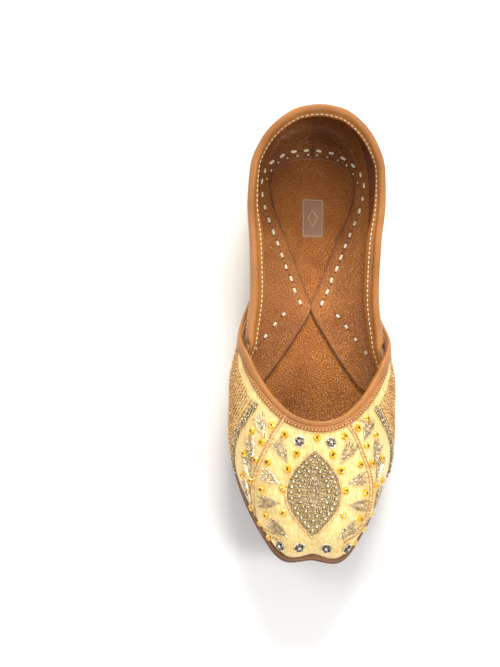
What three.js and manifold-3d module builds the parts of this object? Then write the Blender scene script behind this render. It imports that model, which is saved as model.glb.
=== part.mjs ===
// Mojari: a flat embroidered leather slip-on shoe with a blunt, turned-up toe.
//
// Frame: millimetres, +Z up, origin in the middle of the footprint on the floor, toe toward -Y and
// heel toward +Y. The shoe is built straight, so the two sides mirror each other across X = 0.
//
// The last is one surface of ribs. A rib starts at the feather line, where upper and sole meet, and
// climbs to the collar or the throat. "turn" is the place along the outline: 0 at the heel, 1 at the
// toe, negative on the left and above 1 past the toe. "rise" is the place on a rib: 0 at the feather
// line and 1 at its top. The quarter hangs on the inside of this surface and the vamp lies on the
// outside, lapped over it.
import * as THREE from 'three';
import { mergeVertices } from 'three/addons/utils/BufferGeometryUtils.js';
import Module from 'manifold-3d';

const wasm = await Module();
wasm.setup();

// Driving dimensions.
const LENGTH = 250;
const BALL_WIDTH = 82;
const HEEL_HEIGHT = 58.8;
const INSTEP_HEIGHT = 48;

// Thicknesses and clearances.
const OUTSOLE_THICKNESS = 4;
const MIDSOLE_THICKNESS = 1.9;
const INSOLE_THICKNESS = 1.3;
const FLAP_THICKNESS = 1.1;
const QUARTER_WALL = 2;
const VAMP_WALL = 2.2;
const LAP = 0.4;
const BINDING_THICKNESS = 0.9;
const GAP = 0.3;

// Widths of the folded leather edging on the outside and the inside of the upper.
const BINDING_OUTSIDE = 5.4;
const BINDING_INSIDE = 4.5;
// Share of the fold's height that its rounded corners take.
const CROWN_ROUNDING = 0.3;

// How far the feather line lies inside the sole's edge, under the quarter and under the vamp.
const FEATHER_AT_HEEL = 1.2;
const FEATHER_AT_TOE = 3.4;
const FEATHER_CHANGE = { start: 0.3, end: 0.5 };

// Sole outline, heel to toe: distance from the heel over the length, half width over half the ball.
const OUTLINE = [
  { along: 0.000, half: 0.000 },
  { along: 0.008, half: 0.250 },
  { along: 0.030, half: 0.480 },
  { along: 0.085, half: 0.655 },
  { along: 0.153, half: 0.720 },
  { along: 0.234, half: 0.735 },
  { along: 0.375, half: 0.750 },
  { along: 0.534, half: 0.820 },
  { along: 0.655, half: 0.935 },
  { along: 0.738, half: 1.000 },
  { along: 0.788, half: 0.972 },
  { along: 0.828, half: 0.915 },
  { along: 0.868, half: 0.835 },
  { along: 0.908, half: 0.735 },
  { along: 0.948, half: 0.605 },
  { along: 0.982, half: 0.470 },
  { along: 0.996, half: 0.370 },
  { along: 1.000, half: 0.280 },
  { along: 0.998, half: 0.150 },
  { along: 0.994, half: 0.000 },
];

// Toe spring: height of the outsole's underside over the floor.
const SPRING_START_ALONG = 0.66;
const TOE_SPRING = [
  { along: 0.000, height: 0 },
  { along: SPRING_START_ALONG, height: 0 },
  { along: 0.752, height: 3.2 },
  { along: 0.833, height: 10 },
  { along: 0.917, height: 17.8 },
  { along: 0.974, height: 22 },
  { along: 1.000, height: 23.4 },
];

// Collar and throat line, from the heel to the throat's middle: the tops of the ribs.
const OPENING = [
  { turn: 0.000, x: 0.0, y: 110.5, z: HEEL_HEIGHT },
  { turn: 0.050, x: 10.3, y: 109.2, z: HEEL_HEIGHT - 1 },
  { turn: 0.090, x: 19.8, y: 105.0, z: HEEL_HEIGHT - 5.5 },
  { turn: 0.140, x: 28.6, y: 96.5, z: HEEL_HEIGHT - 12 },
  { turn: 0.200, x: 34.0, y: 83.5, z: HEEL_HEIGHT - 18 },
  { turn: 0.270, x: 35.0, y: 66.5, z: HEEL_HEIGHT - 24 },
  { turn: 0.350, x: 33.2, y: 46.0, z: HEEL_HEIGHT - 27 },
  { turn: 0.450, x: 31.8, y: 15.0, z: HEEL_HEIGHT - 27 },
  { turn: 0.530, x: 33.4, y: -10.0, z: HEEL_HEIGHT - 25 },
  { turn: 0.585, x: 32.2, y: -23.0, z: INSTEP_HEIGHT - 11.5 },
  { turn: 0.665, x: 27.2, y: -36.0, z: INSTEP_HEIGHT - 7.5 },
  { turn: 0.785, x: 19.4, y: -47.5, z: INSTEP_HEIGHT - 3.5 },
  { turn: 0.900, x: 10.3, y: -55.2, z: INSTEP_HEIGHT - 1 },
  { turn: 1.000, x: 0.0, y: -57.8, z: INSTEP_HEIGHT },
];

// Handles of the ribs. "up" and "out" shape the wall over the feather line. "fan" is the direction
// in which a rib leaves its top, in degrees from +X toward -Y, "side" and "down" are how far.
const RIBS = [
  { turn: 0.000, up: 20, out: 1.5, fan: -90, side: 5.5, down: 18 },
  { turn: 0.050, up: 19, out: 2.0, fan: -68, side: 5.0, down: 17 },
  { turn: 0.090, up: 18, out: 2.5, fan: -48, side: 4.5, down: 16 },
  { turn: 0.140, up: 16, out: 2.5, fan: -30, side: 3.5, down: 13 },
  { turn: 0.200, up: 12, out: 3.0, fan: -12, side: 2.5, down: 10 },
  { turn: 0.270, up: 10, out: 3.0, fan: -3, side: 1.5, down: 9 },
  { turn: 0.350, up: 9, out: 3.0, fan: 0, side: 1.5, down: 8 },
  { turn: 0.450, up: 9, out: 4.5, fan: 3, side: 2.5, down: 8 },
  { turn: 0.530, up: 9, out: 9.0, fan: 6, side: 5.5, down: 8 },
  { turn: 0.585, up: 10, out: 11.0, fan: 14, side: 10.0, down: 8 },
  { turn: 0.665, up: 11, out: 8.0, fan: 30, side: 15.5, down: 7 },
  { turn: 0.785, up: 12, out: 4.5, fan: 50, side: 25.0, down: 5.5 },
  { turn: 0.900, up: 12.5, out: 1.5, fan: 70, side: 35.0, down: 3 },
  { turn: 1.000, up: 12.5, out: 1.0, fan: 90, side: 38.0, down: 1 },
];

// The vamp's rear edge rounds the ear and runs down over the quarter to the sole.
const EAR_TURN = 0.574;
const VAMP_REAR = [
  { rise: 0.00, turn: 0.425 },
  { rise: 0.30, turn: 0.455 },
  { rise: 0.60, turn: 0.497 },
  { rise: 0.82, turn: 0.530 },
  { rise: 0.94, turn: 0.554 },
  { rise: 1.00, turn: EAR_TURN },
];

// The quarter's top edge follows the collar and dips where it runs under the vamp.
const COLLAR_TURN = 0.53;
const QUARTER_FRONT = 0.6;
const QUARTER_TOP = [
  { turn: 0.0, rise: 1 },
  { turn: COLLAR_TURN, rise: 1 },
  { turn: 0.565, rise: 0.82 },
  { turn: QUARTER_FRONT, rise: 0.72 },
];

// Inner edge of the lining turned in over the foot bed: a teardrop at the heel, a wedge in front.
const FLAP_EDGE = [
  { x: GAP, y: 99.5 },
  { x: 11, y: 98 },
  { x: 19.5, y: 92 },
  { x: 22.6, y: 84 },
  { x: 21, y: 72 },
  { x: 15, y: 55 },
  { x: 8, y: 36.5 },
  { x: 3, y: 23 },
  { x: GAP, y: 14 },
  { x: 8.5, y: -1.5 },
  { x: 17, y: -15 },
  { x: 26, y: -27.5 },
];
const FLAP_FRONT_TURN = 0.6;

// The collar edging's outer leg narrows where the ear of the vamp lies against it.
const COLLAR_LEG = [
  { turn: 0.000, width: BINDING_OUTSIDE },
  { turn: 0.490, width: BINDING_OUTSIDE },
  { turn: 0.512, width: 4 },
  { turn: COLLAR_TURN, width: 2 },
];

// Grid steps.
const OUTLINE_STEPS = 150;
const VAMP_STEPS = { turn: 60, rise: 14 };
const QUARTER_STEPS = { turn: 64, rise: 7 };
const BINDING_STEPS = { throat: 44, collar: 60 };
const SPRING_STEPS = 18;
const FLAP_STEPS = 39;

// Distance under which two vertices are one, and the share of a turn or a rib that gives a slope.
const WELD = 1e-4;
const PROBE = 0.004;
const EDGE_PROBE = 0.02;

const LEATHER_TAN = { color: 0xc88a55, roughness: 0.55, metalness: 0 };
const LEATHER_BROWN = { color: 0xa8683a, roughness: 0.6, metalness: 0 };
const LEATHER_PALE = { color: 0xbd8c66, roughness: 0.65, metalness: 0 };
const GOLD_CLOTH = { color: 0xe8cf90, roughness: 0.45, metalness: 0.15 };

// Smooth interpolation of one column of a table, without overshoot.
function column(rows, key, name) {
  const slopes = rows.map((row, i) => {
    if (i === 0 || i === rows.length - 1) {
      return 0;
    }
    const before = (row[name] - rows[i - 1][name]) / (row[key] - rows[i - 1][key]);
    const after = (rows[i + 1][name] - row[name]) / (rows[i + 1][key] - row[key]);
    return before * after > 0 ? 2 * before * after / (before + after) : 0;
  });
  return (at) => {
    const clamped = Math.min(Math.max(at, rows[0][key]), rows[rows.length - 1][key]);
    const next = Math.max(1, rows.findIndex((row) => row[key] >= clamped));
    const a = rows[next - 1];
    const b = rows[next];
    const span = b[key] - a[key];
    const t = (clamped - a[key]) / span;
    const keep = (1 + 2 * t) * (1 - t) ** 2;
    const leave = t * (1 - t) ** 2 * span * slopes[next - 1];
    const arrive = t * t * (t - 1) * span * slopes[next];
    return keep * a[name] + (1 - keep) * b[name] + leave + arrive;
  };
}

// A table with its neighbours mirrored at both ends, so that the curve crosses X = 0 squarely.
function mirrored(rows, flipped) {
  const flip = (row, about) => ({ ...row, ...flipped(row), turn: 2 * about - row.turn });
  const last = rows.length - 1;
  return [flip(rows[1], rows[0].turn), ...rows, flip(rows[last - 1], rows[last].turn)];
}

const openingRows = mirrored(OPENING, (row) => ({ x: -row.x }));
const openingX = column(openingRows, 'turn', 'x');
const openingY = column(openingRows, 'turn', 'y');
const openingZ = column(openingRows, 'turn', 'z');
const ribUp = column(RIBS, 'turn', 'up');
const ribOut = column(RIBS, 'turn', 'out');
const ribFan = column(RIBS, 'turn', 'fan');
const ribSide = column(RIBS, 'turn', 'side');
const ribDown = column(RIBS, 'turn', 'down');
const vampRear = column(VAMP_REAR, 'rise', 'turn');
const quarterTop = column(QUARTER_TOP, 'turn', 'rise');
const collarLeg = column(COLLAR_LEG, 'turn', 'width');
const springHeight = column(TOE_SPRING, 'along', 'height');

const heelY = LENGTH / 2;
const alongAt = (y) => (heelY - y) / LENGTH;
const springStart = heelY - SPRING_START_ALONG * LENGTH;
const soleUnderside = (y) => springHeight(alongAt(y));
const midsoleBottom = OUTSOLE_THICKNESS + GAP;
const featherHeight = midsoleBottom + MIDSOLE_THICKNESS + GAP;

// The sole's outline as a closed curve. The first half of it runs from heel to toe.
const outlineSide = OUTLINE.map((row) => new THREE.Vector3(
  row.half * BALL_WIDTH / 2,
  heelY - row.along * LENGTH,
  0,
));
const outlineBack = outlineSide.slice(1, -1).reverse().map((p) => new THREE.Vector3(-p.x, p.y, 0));
const outline = new THREE.CatmullRomCurve3([...outlineSide, ...outlineBack], true, 'centripetal');
outline.arcLengthDivisions = 800;

// A point on the outline, moved square to it toward the inside.
function outlinePoint(turn, inset) {
  const at = ((turn / 2) % 1 + 1) % 1;
  const point = outline.getPointAt(at);
  const tangent = outline.getTangentAt(at);
  return point.add(new THREE.Vector3(tangent.y, -tangent.x, 0).multiplyScalar(inset));
}

function featherInset(turn) {
  const t = THREE.MathUtils.smoothstep(turn, FEATHER_CHANGE.start, FEATHER_CHANGE.end);
  return THREE.MathUtils.lerp(FEATHER_AT_HEEL, FEATHER_AT_TOE, t);
}

// A point of the last on the +X side, turn from 0 to 1.
function lastSide(turn, rise) {
  const foot = outlinePoint(turn, featherInset(turn));
  const outward = outlinePoint(turn, 0).sub(foot).normalize();
  foot.z = soleUnderside(foot.y) + featherHeight;
  const top = new THREE.Vector3(openingX(turn), openingY(turn), openingZ(turn));
  const wall = foot.clone().addScaledVector(outward, ribOut(turn));
  wall.z += ribUp(turn);
  const fan = THREE.MathUtils.degToRad(ribFan(turn));
  const roof = new THREE.Vector3(Math.cos(fan), -Math.sin(fan), 0).multiplyScalar(ribSide(turn));
  roof.add(top);
  roof.z -= ribDown(turn);
  return new THREE.CubicBezierCurve3(foot, wall, roof, top).getPoint(rise);
}

// A point of the last for any turn.
function lastPoint(turn, rise) {
  const around = ((turn % 2) + 2) % 2;
  if (around <= 1) {
    return lastSide(around, rise);
  }
  const point = lastSide(2 - around, rise);
  point.x = -point.x;
  return point;
}

// The outward normal of the last.
function lastNormal(turn, rise) {
  const along = lastPoint(turn + PROBE, rise).sub(lastPoint(turn - PROBE, rise));
  const low = lastPoint(turn, Math.max(0, rise - PROBE));
  return lastPoint(turn, Math.min(1, rise + PROBE)).sub(low).cross(along).normalize();
}

// A point at a distance from the last. The lowest row stays on the plane of the feather line.
function offsetPoint(turn, rise, distance) {
  const point = lastPoint(turn, rise).addScaledVector(lastNormal(turn, rise), distance);
  if (rise === 0) {
    point.z = soleUnderside(point.y) + featherHeight;
  }
  return point;
}

function steps(count, from, to) {
  return Array.from({ length: count + 1 }, (_, i) => THREE.MathUtils.lerp(from, to, i / count));
}

// Joins coincident vertices and drops triangles without area.
function weld(points, triangles) {
  const loose = new THREE.BufferGeometry().setFromPoints(points);
  loose.setIndex(triangles.flat());
  const welded = mergeVertices(loose, WELD);
  const index = welded.getIndex().array;
  const kept = [];
  for (let i = 0; i < index.length; i += 3) {
    const [a, b, c] = [index[i], index[i + 1], index[i + 2]];
    if (a !== b && b !== c && a !== c) {
      kept.push(a, b, c);
    }
  }
  welded.setIndex(kept);
  return welded;
}

function solidOf(geometry) {
  const bare = geometry.clone();
  bare.deleteAttribute('normal');
  bare.deleteAttribute('uv');
  const merged = mergeVertices(bare, WELD);
  const vertProperties = new Float32Array(merged.getAttribute('position').array);
  const triVerts = new Uint32Array(merged.getIndex().array);
  return new wasm.Manifold(new wasm.Mesh({ numProp: 3, vertProperties, triVerts }));
}

function geometryOf(solid) {
  const mesh = solid.getMesh();
  const geometry = new THREE.BufferGeometry();
  geometry.setAttribute('position', new THREE.BufferAttribute(mesh.vertProperties, 3));
  geometry.setIndex(new THREE.BufferAttribute(mesh.triVerts, 1));
  return geometry;
}

// A solid from closed loops of equal length, one after the other. An end is capped by strips
// between the first half of its loop and the second.
function loft(loops) {
  const count = loops[0].length;
  const at = (i, j) => i * count + (j % count);
  const triangles = [];
  for (let i = 0; i < loops.length - 1; i += 1) {
    for (let j = 0; j < count; j += 1) {
      triangles.push([at(i, j), at(i, j + 1), at(i + 1, j)]);
      triangles.push([at(i, j + 1), at(i + 1, j + 1), at(i + 1, j)]);
    }
  }
  const end = loops.length - 1;
  for (let j = 0; j < count / 2 - 1; j += 1) {
    const k = count - 1 - j;
    triangles.push([at(0, j), at(0, k), at(0, j + 1)], [at(0, j + 1), at(0, k), at(0, k - 1)]);
    triangles.push([at(end, j), at(end, j + 1), at(end, k)]);
    triangles.push([at(end, j + 1), at(end, k - 1), at(end, k)]);
  }
  return weld(loops.flat(), triangles);
}

// A wall over the last. Each loop goes up its outside and down its inside at one place along it.
function wall(count, place, rises, inner, outer) {
  const loops = Array.from({ length: count + 1 }, (_, i) => {
    const up = rises.map((part) => offsetPoint(...place(i, part), outer));
    const down = rises.map((part) => offsetPoint(...place(i, part), inner)).reverse();
    return [...up, ...down];
  });
  return loft(loops);
}

// The vamp: its first and last columns lean back along the ears.
function vampWall() {
  const place = (i, part) => {
    const rear = vampRear(part);
    return [THREE.MathUtils.lerp(rear, 2 - rear, i / VAMP_STEPS.turn), part];
  };
  return wall(VAMP_STEPS.turn, place, steps(VAMP_STEPS.rise, 0, 1), 0, VAMP_WALL);
}

// The quarter: around the heel and on under the vamp at both sides.
function quarterWall() {
  const turns = steps(QUARTER_STEPS.turn, -QUARTER_FRONT, QUARTER_FRONT);
  const place = (i, part) => [turns[i], part * quarterTop(Math.abs(turns[i]))];
  return wall(turns.length - 1, place, steps(QUARTER_STEPS.rise, 0, 1), -QUARTER_WALL, LAP);
}

// Folded edging over a wall's top edge. "depth" is measured down the wall from the edge.
function edgePoint(turn, depth, distance) {
  const length = lastPoint(turn, 1).distanceTo(lastPoint(turn, 1 - EDGE_PROBE)) / EDGE_PROBE;
  if (depth >= 0) {
    return offsetPoint(turn, 1 - depth / length, distance);
  }
  const climb = lastPoint(turn, 1).sub(lastPoint(turn, 1 - EDGE_PROBE)).normalize();
  return offsetPoint(turn, 1, distance).addScaledVector(climb, -depth);
}

function binding(turns, inner, outer, outsideWidth) {
  const crown = GAP + BINDING_THICKNESS;
  const outside = outer + crown;
  const inside = inner - crown;
  const shoulder = (1 - CROWN_ROUNDING) * crown;
  const round = CROWN_ROUNDING * crown;
  const loops = turns.map((turn) => {
    const width = outsideWidth(turn);
    const at = (depth, distance) => edgePoint(turn, depth, distance);
    return [
      at(width, outside),
      at(width / 2, outside),
      at(0, outside),
      at(-shoulder, outside - round),
      at(-crown, (outside + inside) / 2),
      at(-shoulder, inside + round),
      at(0, inside),
      at(BINDING_INSIDE, inside),
      at(BINDING_INSIDE, inner - GAP),
      at(0, inner - GAP),
      at(-GAP, inner - GAP),
      at(-GAP, (outside + inside) / 2),
      at(-GAP, outer + GAP),
      at(0, outer + GAP),
      at(width / 2, outer + GAP),
      at(width, outer + GAP),
    ];
  });
  return loft(loops);
}

function throatBinding() {
  const turns = steps(BINDING_STEPS.throat, EAR_TURN, 2 - EAR_TURN);
  return binding(turns, 0, VAMP_WALL, () => BINDING_OUTSIDE);
}

function collarBinding() {
  const turns = steps(BINDING_STEPS.collar, -COLLAR_TURN, COLLAR_TURN);
  return binding(turns, -QUARTER_WALL, LAP, (turn) => collarLeg(Math.abs(turn)));
}

// A flat piece of the given plan, bent along the toe spring between two heights over the sole.
function bentPlate(plan, low, high) {
  const tall = HEEL_HEIGHT;
  const block = new THREE.ExtrudeGeometry(plan, { depth: tall, bevelEnabled: false });
  const lengthwise = [heelY + BALL_WIDTH, ...steps(SPRING_STEPS, springStart, -heelY - GAP)];
  const under = lengthwise.map((y) => new THREE.Vector2(y, soleUnderside(y) + low));
  const over = lengthwise.map((y) => new THREE.Vector2(y, soleUnderside(y) + high)).reverse();
  const band = new THREE.ExtrudeGeometry(new THREE.Shape([...under, ...over]), {
    depth: 2 * BALL_WIDTH,
    bevelEnabled: false,
  });
  band.translate(0, 0, -BALL_WIDTH);
  band.applyMatrix4(new THREE.Matrix4().makeBasis(
    new THREE.Vector3(0, 1, 0),
    new THREE.Vector3(0, 0, 1),
    new THREE.Vector3(1, 0, 0),
  ));
  return geometryOf(solidOf(block).intersect(solidOf(band)));
}

function planOf(inset) {
  return new THREE.Shape(steps(OUTLINE_STEPS, 0, 2).slice(0, -1).map((turn) => {
    const point = outlinePoint(turn, inset(turn));
    return new THREE.Vector2(point.x, point.y);
  }));
}

const bedInset = (turn) => featherInset(Math.min(turn, 2 - turn)) + QUARTER_WALL + GAP;

// Lining turned in at one side: from its inner edge over the foot bed out to the wall.
function flapPlan(side) {
  const edge = new THREE.SplineCurve(FLAP_EDGE.map((row) => new THREE.Vector2(row.x, row.y)));
  const inner = edge.getPoints(FLAP_STEPS);
  const turns = steps(FLAP_STEPS, FLAP_FRONT_TURN, 0);
  const outer = turns.map((turn) => outlinePoint(turn, bedInset(turn)));
  const clear = (p) => new THREE.Vector2(side * Math.max(p.x, GAP / 2), p.y);
  return new THREE.Shape([...inner, ...outer].map(clear));
}

function piece(name, geometry, material) {
  const mesh = new THREE.Mesh(geometry, new THREE.MeshStandardMaterial(material));
  mesh.name = name;
  return mesh;
}

const bedHeight = featherHeight + INSOLE_THICKNESS;
const flapHeight = bedHeight + GAP;
const flapTop = flapHeight + FLAP_THICKNESS;
const upper = solidOf(quarterWall()).add(solidOf(vampWall()));

const group = new THREE.Group();
group.add(piece('outsole', bentPlate(planOf(() => 0), 0, OUTSOLE_THICKNESS), LEATHER_BROWN));
group.add(piece(
  'midsole',
  bentPlate(planOf(() => 0), midsoleBottom, midsoleBottom + MIDSOLE_THICKNESS),
  LEATHER_PALE,
));
group.add(piece('insole', bentPlate(planOf(bedInset), featherHeight, bedHeight), LEATHER_BROWN));
group.add(piece('upper', geometryOf(upper), GOLD_CLOTH));
group.add(piece('collar_binding', collarBinding(), LEATHER_TAN));
group.add(piece('throat_binding', throatBinding(), LEATHER_TAN));
group.add(piece('lining_flap_left', bentPlate(flapPlan(-1), flapHeight, flapTop), LEATHER_BROWN));
group.add(piece('lining_flap_right', bentPlate(flapPlan(1), flapHeight, flapTop), LEATHER_BROWN));

export default group;
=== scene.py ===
"""Looks of a mojari: a flat embroidered leather slip-on shoe with a blunt, turned-up toe.

The shoe stands in the row frame: +Z up, toe toward -Y, the two sides mirrored across X = 0.
Sizes here are in millimetres and MM turns them into metres. "turn" is the place along the sole's
outline, 0 at the heel and 1 at the toe. "rise" is the place on the wall, 0 at the feather line and
1 at the collar or the throat. "lift" is the distance from the last, outward.
"""

import bmesh
import bpy
import math
import numpy as np
from mathutils import Matrix, Vector
from mathutils.bvhtree import BVHTree


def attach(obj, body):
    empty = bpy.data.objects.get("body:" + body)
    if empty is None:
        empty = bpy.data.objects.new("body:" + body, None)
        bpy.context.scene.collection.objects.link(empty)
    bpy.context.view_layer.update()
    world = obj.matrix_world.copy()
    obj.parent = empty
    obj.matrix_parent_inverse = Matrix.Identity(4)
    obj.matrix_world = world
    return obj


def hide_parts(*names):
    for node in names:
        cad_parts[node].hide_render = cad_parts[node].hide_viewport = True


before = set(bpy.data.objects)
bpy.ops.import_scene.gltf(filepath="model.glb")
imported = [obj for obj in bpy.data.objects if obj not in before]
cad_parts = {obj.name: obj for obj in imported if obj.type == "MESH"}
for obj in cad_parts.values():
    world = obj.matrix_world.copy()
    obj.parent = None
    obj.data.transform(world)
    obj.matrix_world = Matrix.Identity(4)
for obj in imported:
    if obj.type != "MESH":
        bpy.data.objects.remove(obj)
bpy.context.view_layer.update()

MM = 0.001
chance = np.random.default_rng(7)

# Driving dimensions, as in the CAD source.
LENGTH = 250
BALL_WIDTH = 82
HEEL_HEIGHT = 58.8
INSTEP_HEIGHT = 48
OUTSOLE_THICKNESS = 4
MIDSOLE_THICKNESS = 1.9
INSOLE_THICKNESS = 1.3
FLAP_THICKNESS = 1.1
QUARTER_WALL = 2
VAMP_WALL = 2.2
GAP = 0.3
FEATHER_AT_HEEL = 1.2
FEATHER_AT_TOE = 3.4
EAR_TURN = 0.574
QUARTER_FRONT = 0.6
FLAP_FRONT_TURN = 0.6

# Sole outline: distance from the heel over the length, half width over half the ball.
OUTLINE = [
    (0, 0), (0.008, 0.25), (0.03, 0.48), (0.085, 0.655), (0.153, 0.72), (0.234, 0.735),
    (0.375, 0.75), (0.534, 0.82), (0.655, 0.935), (0.738, 1), (0.788, 0.972), (0.828, 0.915),
    (0.868, 0.835), (0.908, 0.735), (0.948, 0.605), (0.982, 0.47), (0.996, 0.37), (1, 0.28),
    (0.998, 0.15), (0.994, 0),
]

# Toe spring: distance from the heel over the length, height of the underside.
TOE_SPRING = [(0, 0), (0.66, 0), (0.752, 3.2), (0.833, 10), (0.917, 17.8), (0.974, 22), (1, 23.4)]

# Collar and throat line: turn, x, y, z.
OPENING = [
    (0, 0, 110.5, HEEL_HEIGHT),
    (0.05, 10.3, 109.2, HEEL_HEIGHT - 1),
    (0.09, 19.8, 105, HEEL_HEIGHT - 5.5),
    (0.14, 28.6, 96.5, HEEL_HEIGHT - 12),
    (0.2, 34, 83.5, HEEL_HEIGHT - 18),
    (0.27, 35, 66.5, HEEL_HEIGHT - 24),
    (0.35, 33.2, 46, HEEL_HEIGHT - 27),
    (0.45, 31.8, 15, HEEL_HEIGHT - 27),
    (0.53, 33.4, -10, HEEL_HEIGHT - 25),
    (0.585, 32.2, -23, INSTEP_HEIGHT - 11.5),
    (0.665, 27.2, -36, INSTEP_HEIGHT - 7.5),
    (0.785, 19.4, -47.5, INSTEP_HEIGHT - 3.5),
    (0.9, 10.3, -55.2, INSTEP_HEIGHT - 1),
    (1, 0, -57.8, INSTEP_HEIGHT),
]

# Handles of the ribs: turn, up, out, fan in degrees, side, down.
RIBS = [
    (0, 20, 1.5, -90, 5.5, 18), (0.05, 19, 2, -68, 5, 17), (0.09, 18, 2.5, -48, 4.5, 16),
    (0.14, 16, 2.5, -30, 3.5, 13), (0.2, 12, 3, -12, 2.5, 10), (0.27, 10, 3, -3, 1.5, 9),
    (0.35, 9, 3, 0, 1.5, 8), (0.45, 9, 4.5, 3, 2.5, 8), (0.53, 9, 9, 6, 5.5, 8),
    (0.585, 10, 11, 14, 10, 8), (0.665, 11, 8, 30, 15.5, 7), (0.785, 12, 4.5, 50, 25, 5.5),
    (0.9, 12.5, 1.5, 70, 35, 3), (1, 12.5, 1, 90, 38, 1),
]

# Rear edge of the vamp: rise, turn. Top edge of the quarter: turn, rise.
VAMP_REAR = [(0, 0.425), (0.3, 0.455), (0.6, 0.497), (0.82, 0.53), (0.94, 0.554), (1, EAR_TURN)]
QUARTER_TOP = [(0, 1), (0.53, 1), (0.565, 0.82), (QUARTER_FRONT, 0.72)]

# Inner edge of the lining turned in over the foot bed: x, y.
FLAP_EDGE = [
    (0.3, 99.5), (11, 98), (19.5, 92), (22.6, 84), (21, 72), (15, 55), (8, 36.5), (3, 23), (0.3, 14),
    (8.5, -1.5), (17, -15), (26, -27.5),
]

# Soft troughs and ridges of the cloth: two ends (x, y, z), half width, depth (a ridge is negative).
CREASES = [
    ((17, -124, 26), (13, -116, 37), 2.2, 0.55),
    ((-17, -124, 26), (-13, -116, 37), 2.2, 0.5),
    ((0, -124, 26), (1, -117, 36), 3.2, 0.5),
    ((9, -124, 27), (8, -116, 38), 3, -0.4),
    ((-9, -124, 27), (-8, -116, 38), 3, -0.4),
    ((40, -78, 14), (33, -84, 32), 3, 0.35),
    ((-40, -72, 13), (-34, -80, 32), 3, 0.35),
    ((41, -60, 10), (39, -52, 28), 3.4, 0.3),
    ((-41, -56, 10), (-39, -48, 28), 3.4, 0.3),
    ((26, 106, 10), (25, 104, 25), 1.6, 0.6),
    ((28, 100, 12), (27, 99, 22), 1.6, 0.45),
    ((-26, 106, 12), (-26, 103, 26), 1.8, 0.45),
    ((32, 60, 9), (33, 20, 11), 2.6, 0.3),
    ((-32, 64, 9), (-33, 26, 12), 2.6, 0.3),
    ((30, 84, 14), (35, 52, 22), 3.2, -0.3),
    ((-30, 80, 14), (-35, 48, 20), 3.2, -0.3),
]


# ------------------------------
# The last

def unit(v):
    """Vectors at length 1."""
    return v / np.maximum(np.linalg.norm(v, axis=-1, keepdims=True), 1e-12)


def smooth(value, low, high):
    """0 below a low value, 1 above a high one and an eased step between them."""
    t = np.clip((value - low) / (high - low), 0, 1)
    return t * t * (3 - 2 * t)


def column(rows, value):
    """Smooth interpolation of one column of a table over its first column, without overshoot."""
    x = np.array([row[0] for row in rows], float)
    y = np.array([row[value] for row in rows], float)
    chord = np.diff(y) / np.diff(x)
    before, after = chord[:-1], chord[1:]
    mean = 2 * before * after / np.where(before + after == 0, 1, before + after)
    slope = np.zeros(len(y))
    slope[1:-1] = np.where(before * after > 0, mean, 0)

    def at(place):
        place = np.clip(place, x[0], x[-1])
        i = np.clip(np.searchsorted(x, place), 1, len(x) - 1)
        span = x[i] - x[i - 1]
        t = (place - x[i - 1]) / span
        keep = (1 + 2 * t) * (1 - t) ** 2
        leave = t * (1 - t) ** 2 * span * slope[i - 1]
        arrive = t * t * (t - 1) * span * slope[i]
        return keep * y[i - 1] + (1 - keep) * y[i] + leave + arrive

    return at


def spline(points, steps, closed=False, power=0.5):
    """Catmull-Rom curve through points: centripetal at power 0.5, uniform at 0."""
    points = np.array(points, float)
    if closed:
        points = np.vstack([points[-1:], points, points[:2]])
    else:
        points = np.vstack([2 * points[0] - points[1], points, 2 * points[-1] - points[-2]])
    t = np.linspace(0, 1, steps, endpoint=False)[:, None]
    made = []
    for a, b, c, d in zip(points, points[1:], points[2:], points[3:]):
        d0, d1, d2 = (max(np.linalg.norm(q - p), 1e-9) ** power for p, q in ((a, b), (b, c), (c, d)))
        leave = ((b - a) / d0 - (c - a) / (d0 + d1) + (c - b) / d1) * d1
        arrive = ((c - b) / d1 - (d - b) / (d1 + d2) + (d - c) / d2) * d1
        made.append(b + leave * t + (3 * (c - b) - 2 * leave - arrive) * t ** 2
                    + (2 * (b - c) + leave + arrive) * t ** 3)
    return np.vstack(made + ([] if closed else [points[-2:-1]]))


def run_length(points):
    """Distance along a polyline at each of its points."""
    return np.concatenate([[0], np.cumsum(np.linalg.norm(np.diff(points, axis=0), axis=1))])


def resample(points, places):
    """Rows of a line at the given distances along it. The first columns of a row are its place."""
    length = run_length(points[:, :3])
    return np.stack([np.interp(places, length, points[:, k]) for k in range(points.shape[1])], 1)


def evenly(points, pitch, margin=0.0):
    """Points of a polyline about a pitch apart."""
    total = run_length(points)[-1]
    count = max(1, int(round((total - 2 * margin) / pitch)))
    return resample(points, np.linspace(margin, total - margin, count + 1))


def mirror_rows(rows):
    """Rows of a table over "turn" with one more past each end, mirrored across X = 0."""
    first, last = rows[1], rows[-2]
    return [(-first[0], -first[1], *first[2:]), *rows, (2 - last[0], -last[1], *last[2:])]


opening = [column(mirror_rows(OPENING), k) for k in (1, 2, 3)]
rib_up, rib_out, rib_fan, rib_side, rib_down = (column(RIBS, k) for k in range(1, 6))
vamp_rear = column(VAMP_REAR, 1)
quarter_top = column(QUARTER_TOP, 1)
spring_height = column(TOE_SPRING, 1)
midsole_bottom = OUTSOLE_THICKNESS + GAP
feather_height = midsole_bottom + MIDSOLE_THICKNESS + GAP
bed_height = feather_height + INSOLE_THICKNESS
flap_bottom = bed_height + GAP
flap_top = flap_bottom + FLAP_THICKNESS


def underside(y):
    """Height of the sole's underside."""
    return spring_height((LENGTH / 2 - y) / LENGTH)


side = [(half * BALL_WIDTH / 2, LENGTH / 2 - along * LENGTH) for along, half in OUTLINE]
around = spline(side + [(-x, y) for x, y in side[-2:0:-1]], 48, closed=True)
around = np.vstack([around, around[:1]])
around_share = run_length(around) / run_length(around)[-1]
around_heading = unit(np.gradient(around, axis=0))


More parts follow.
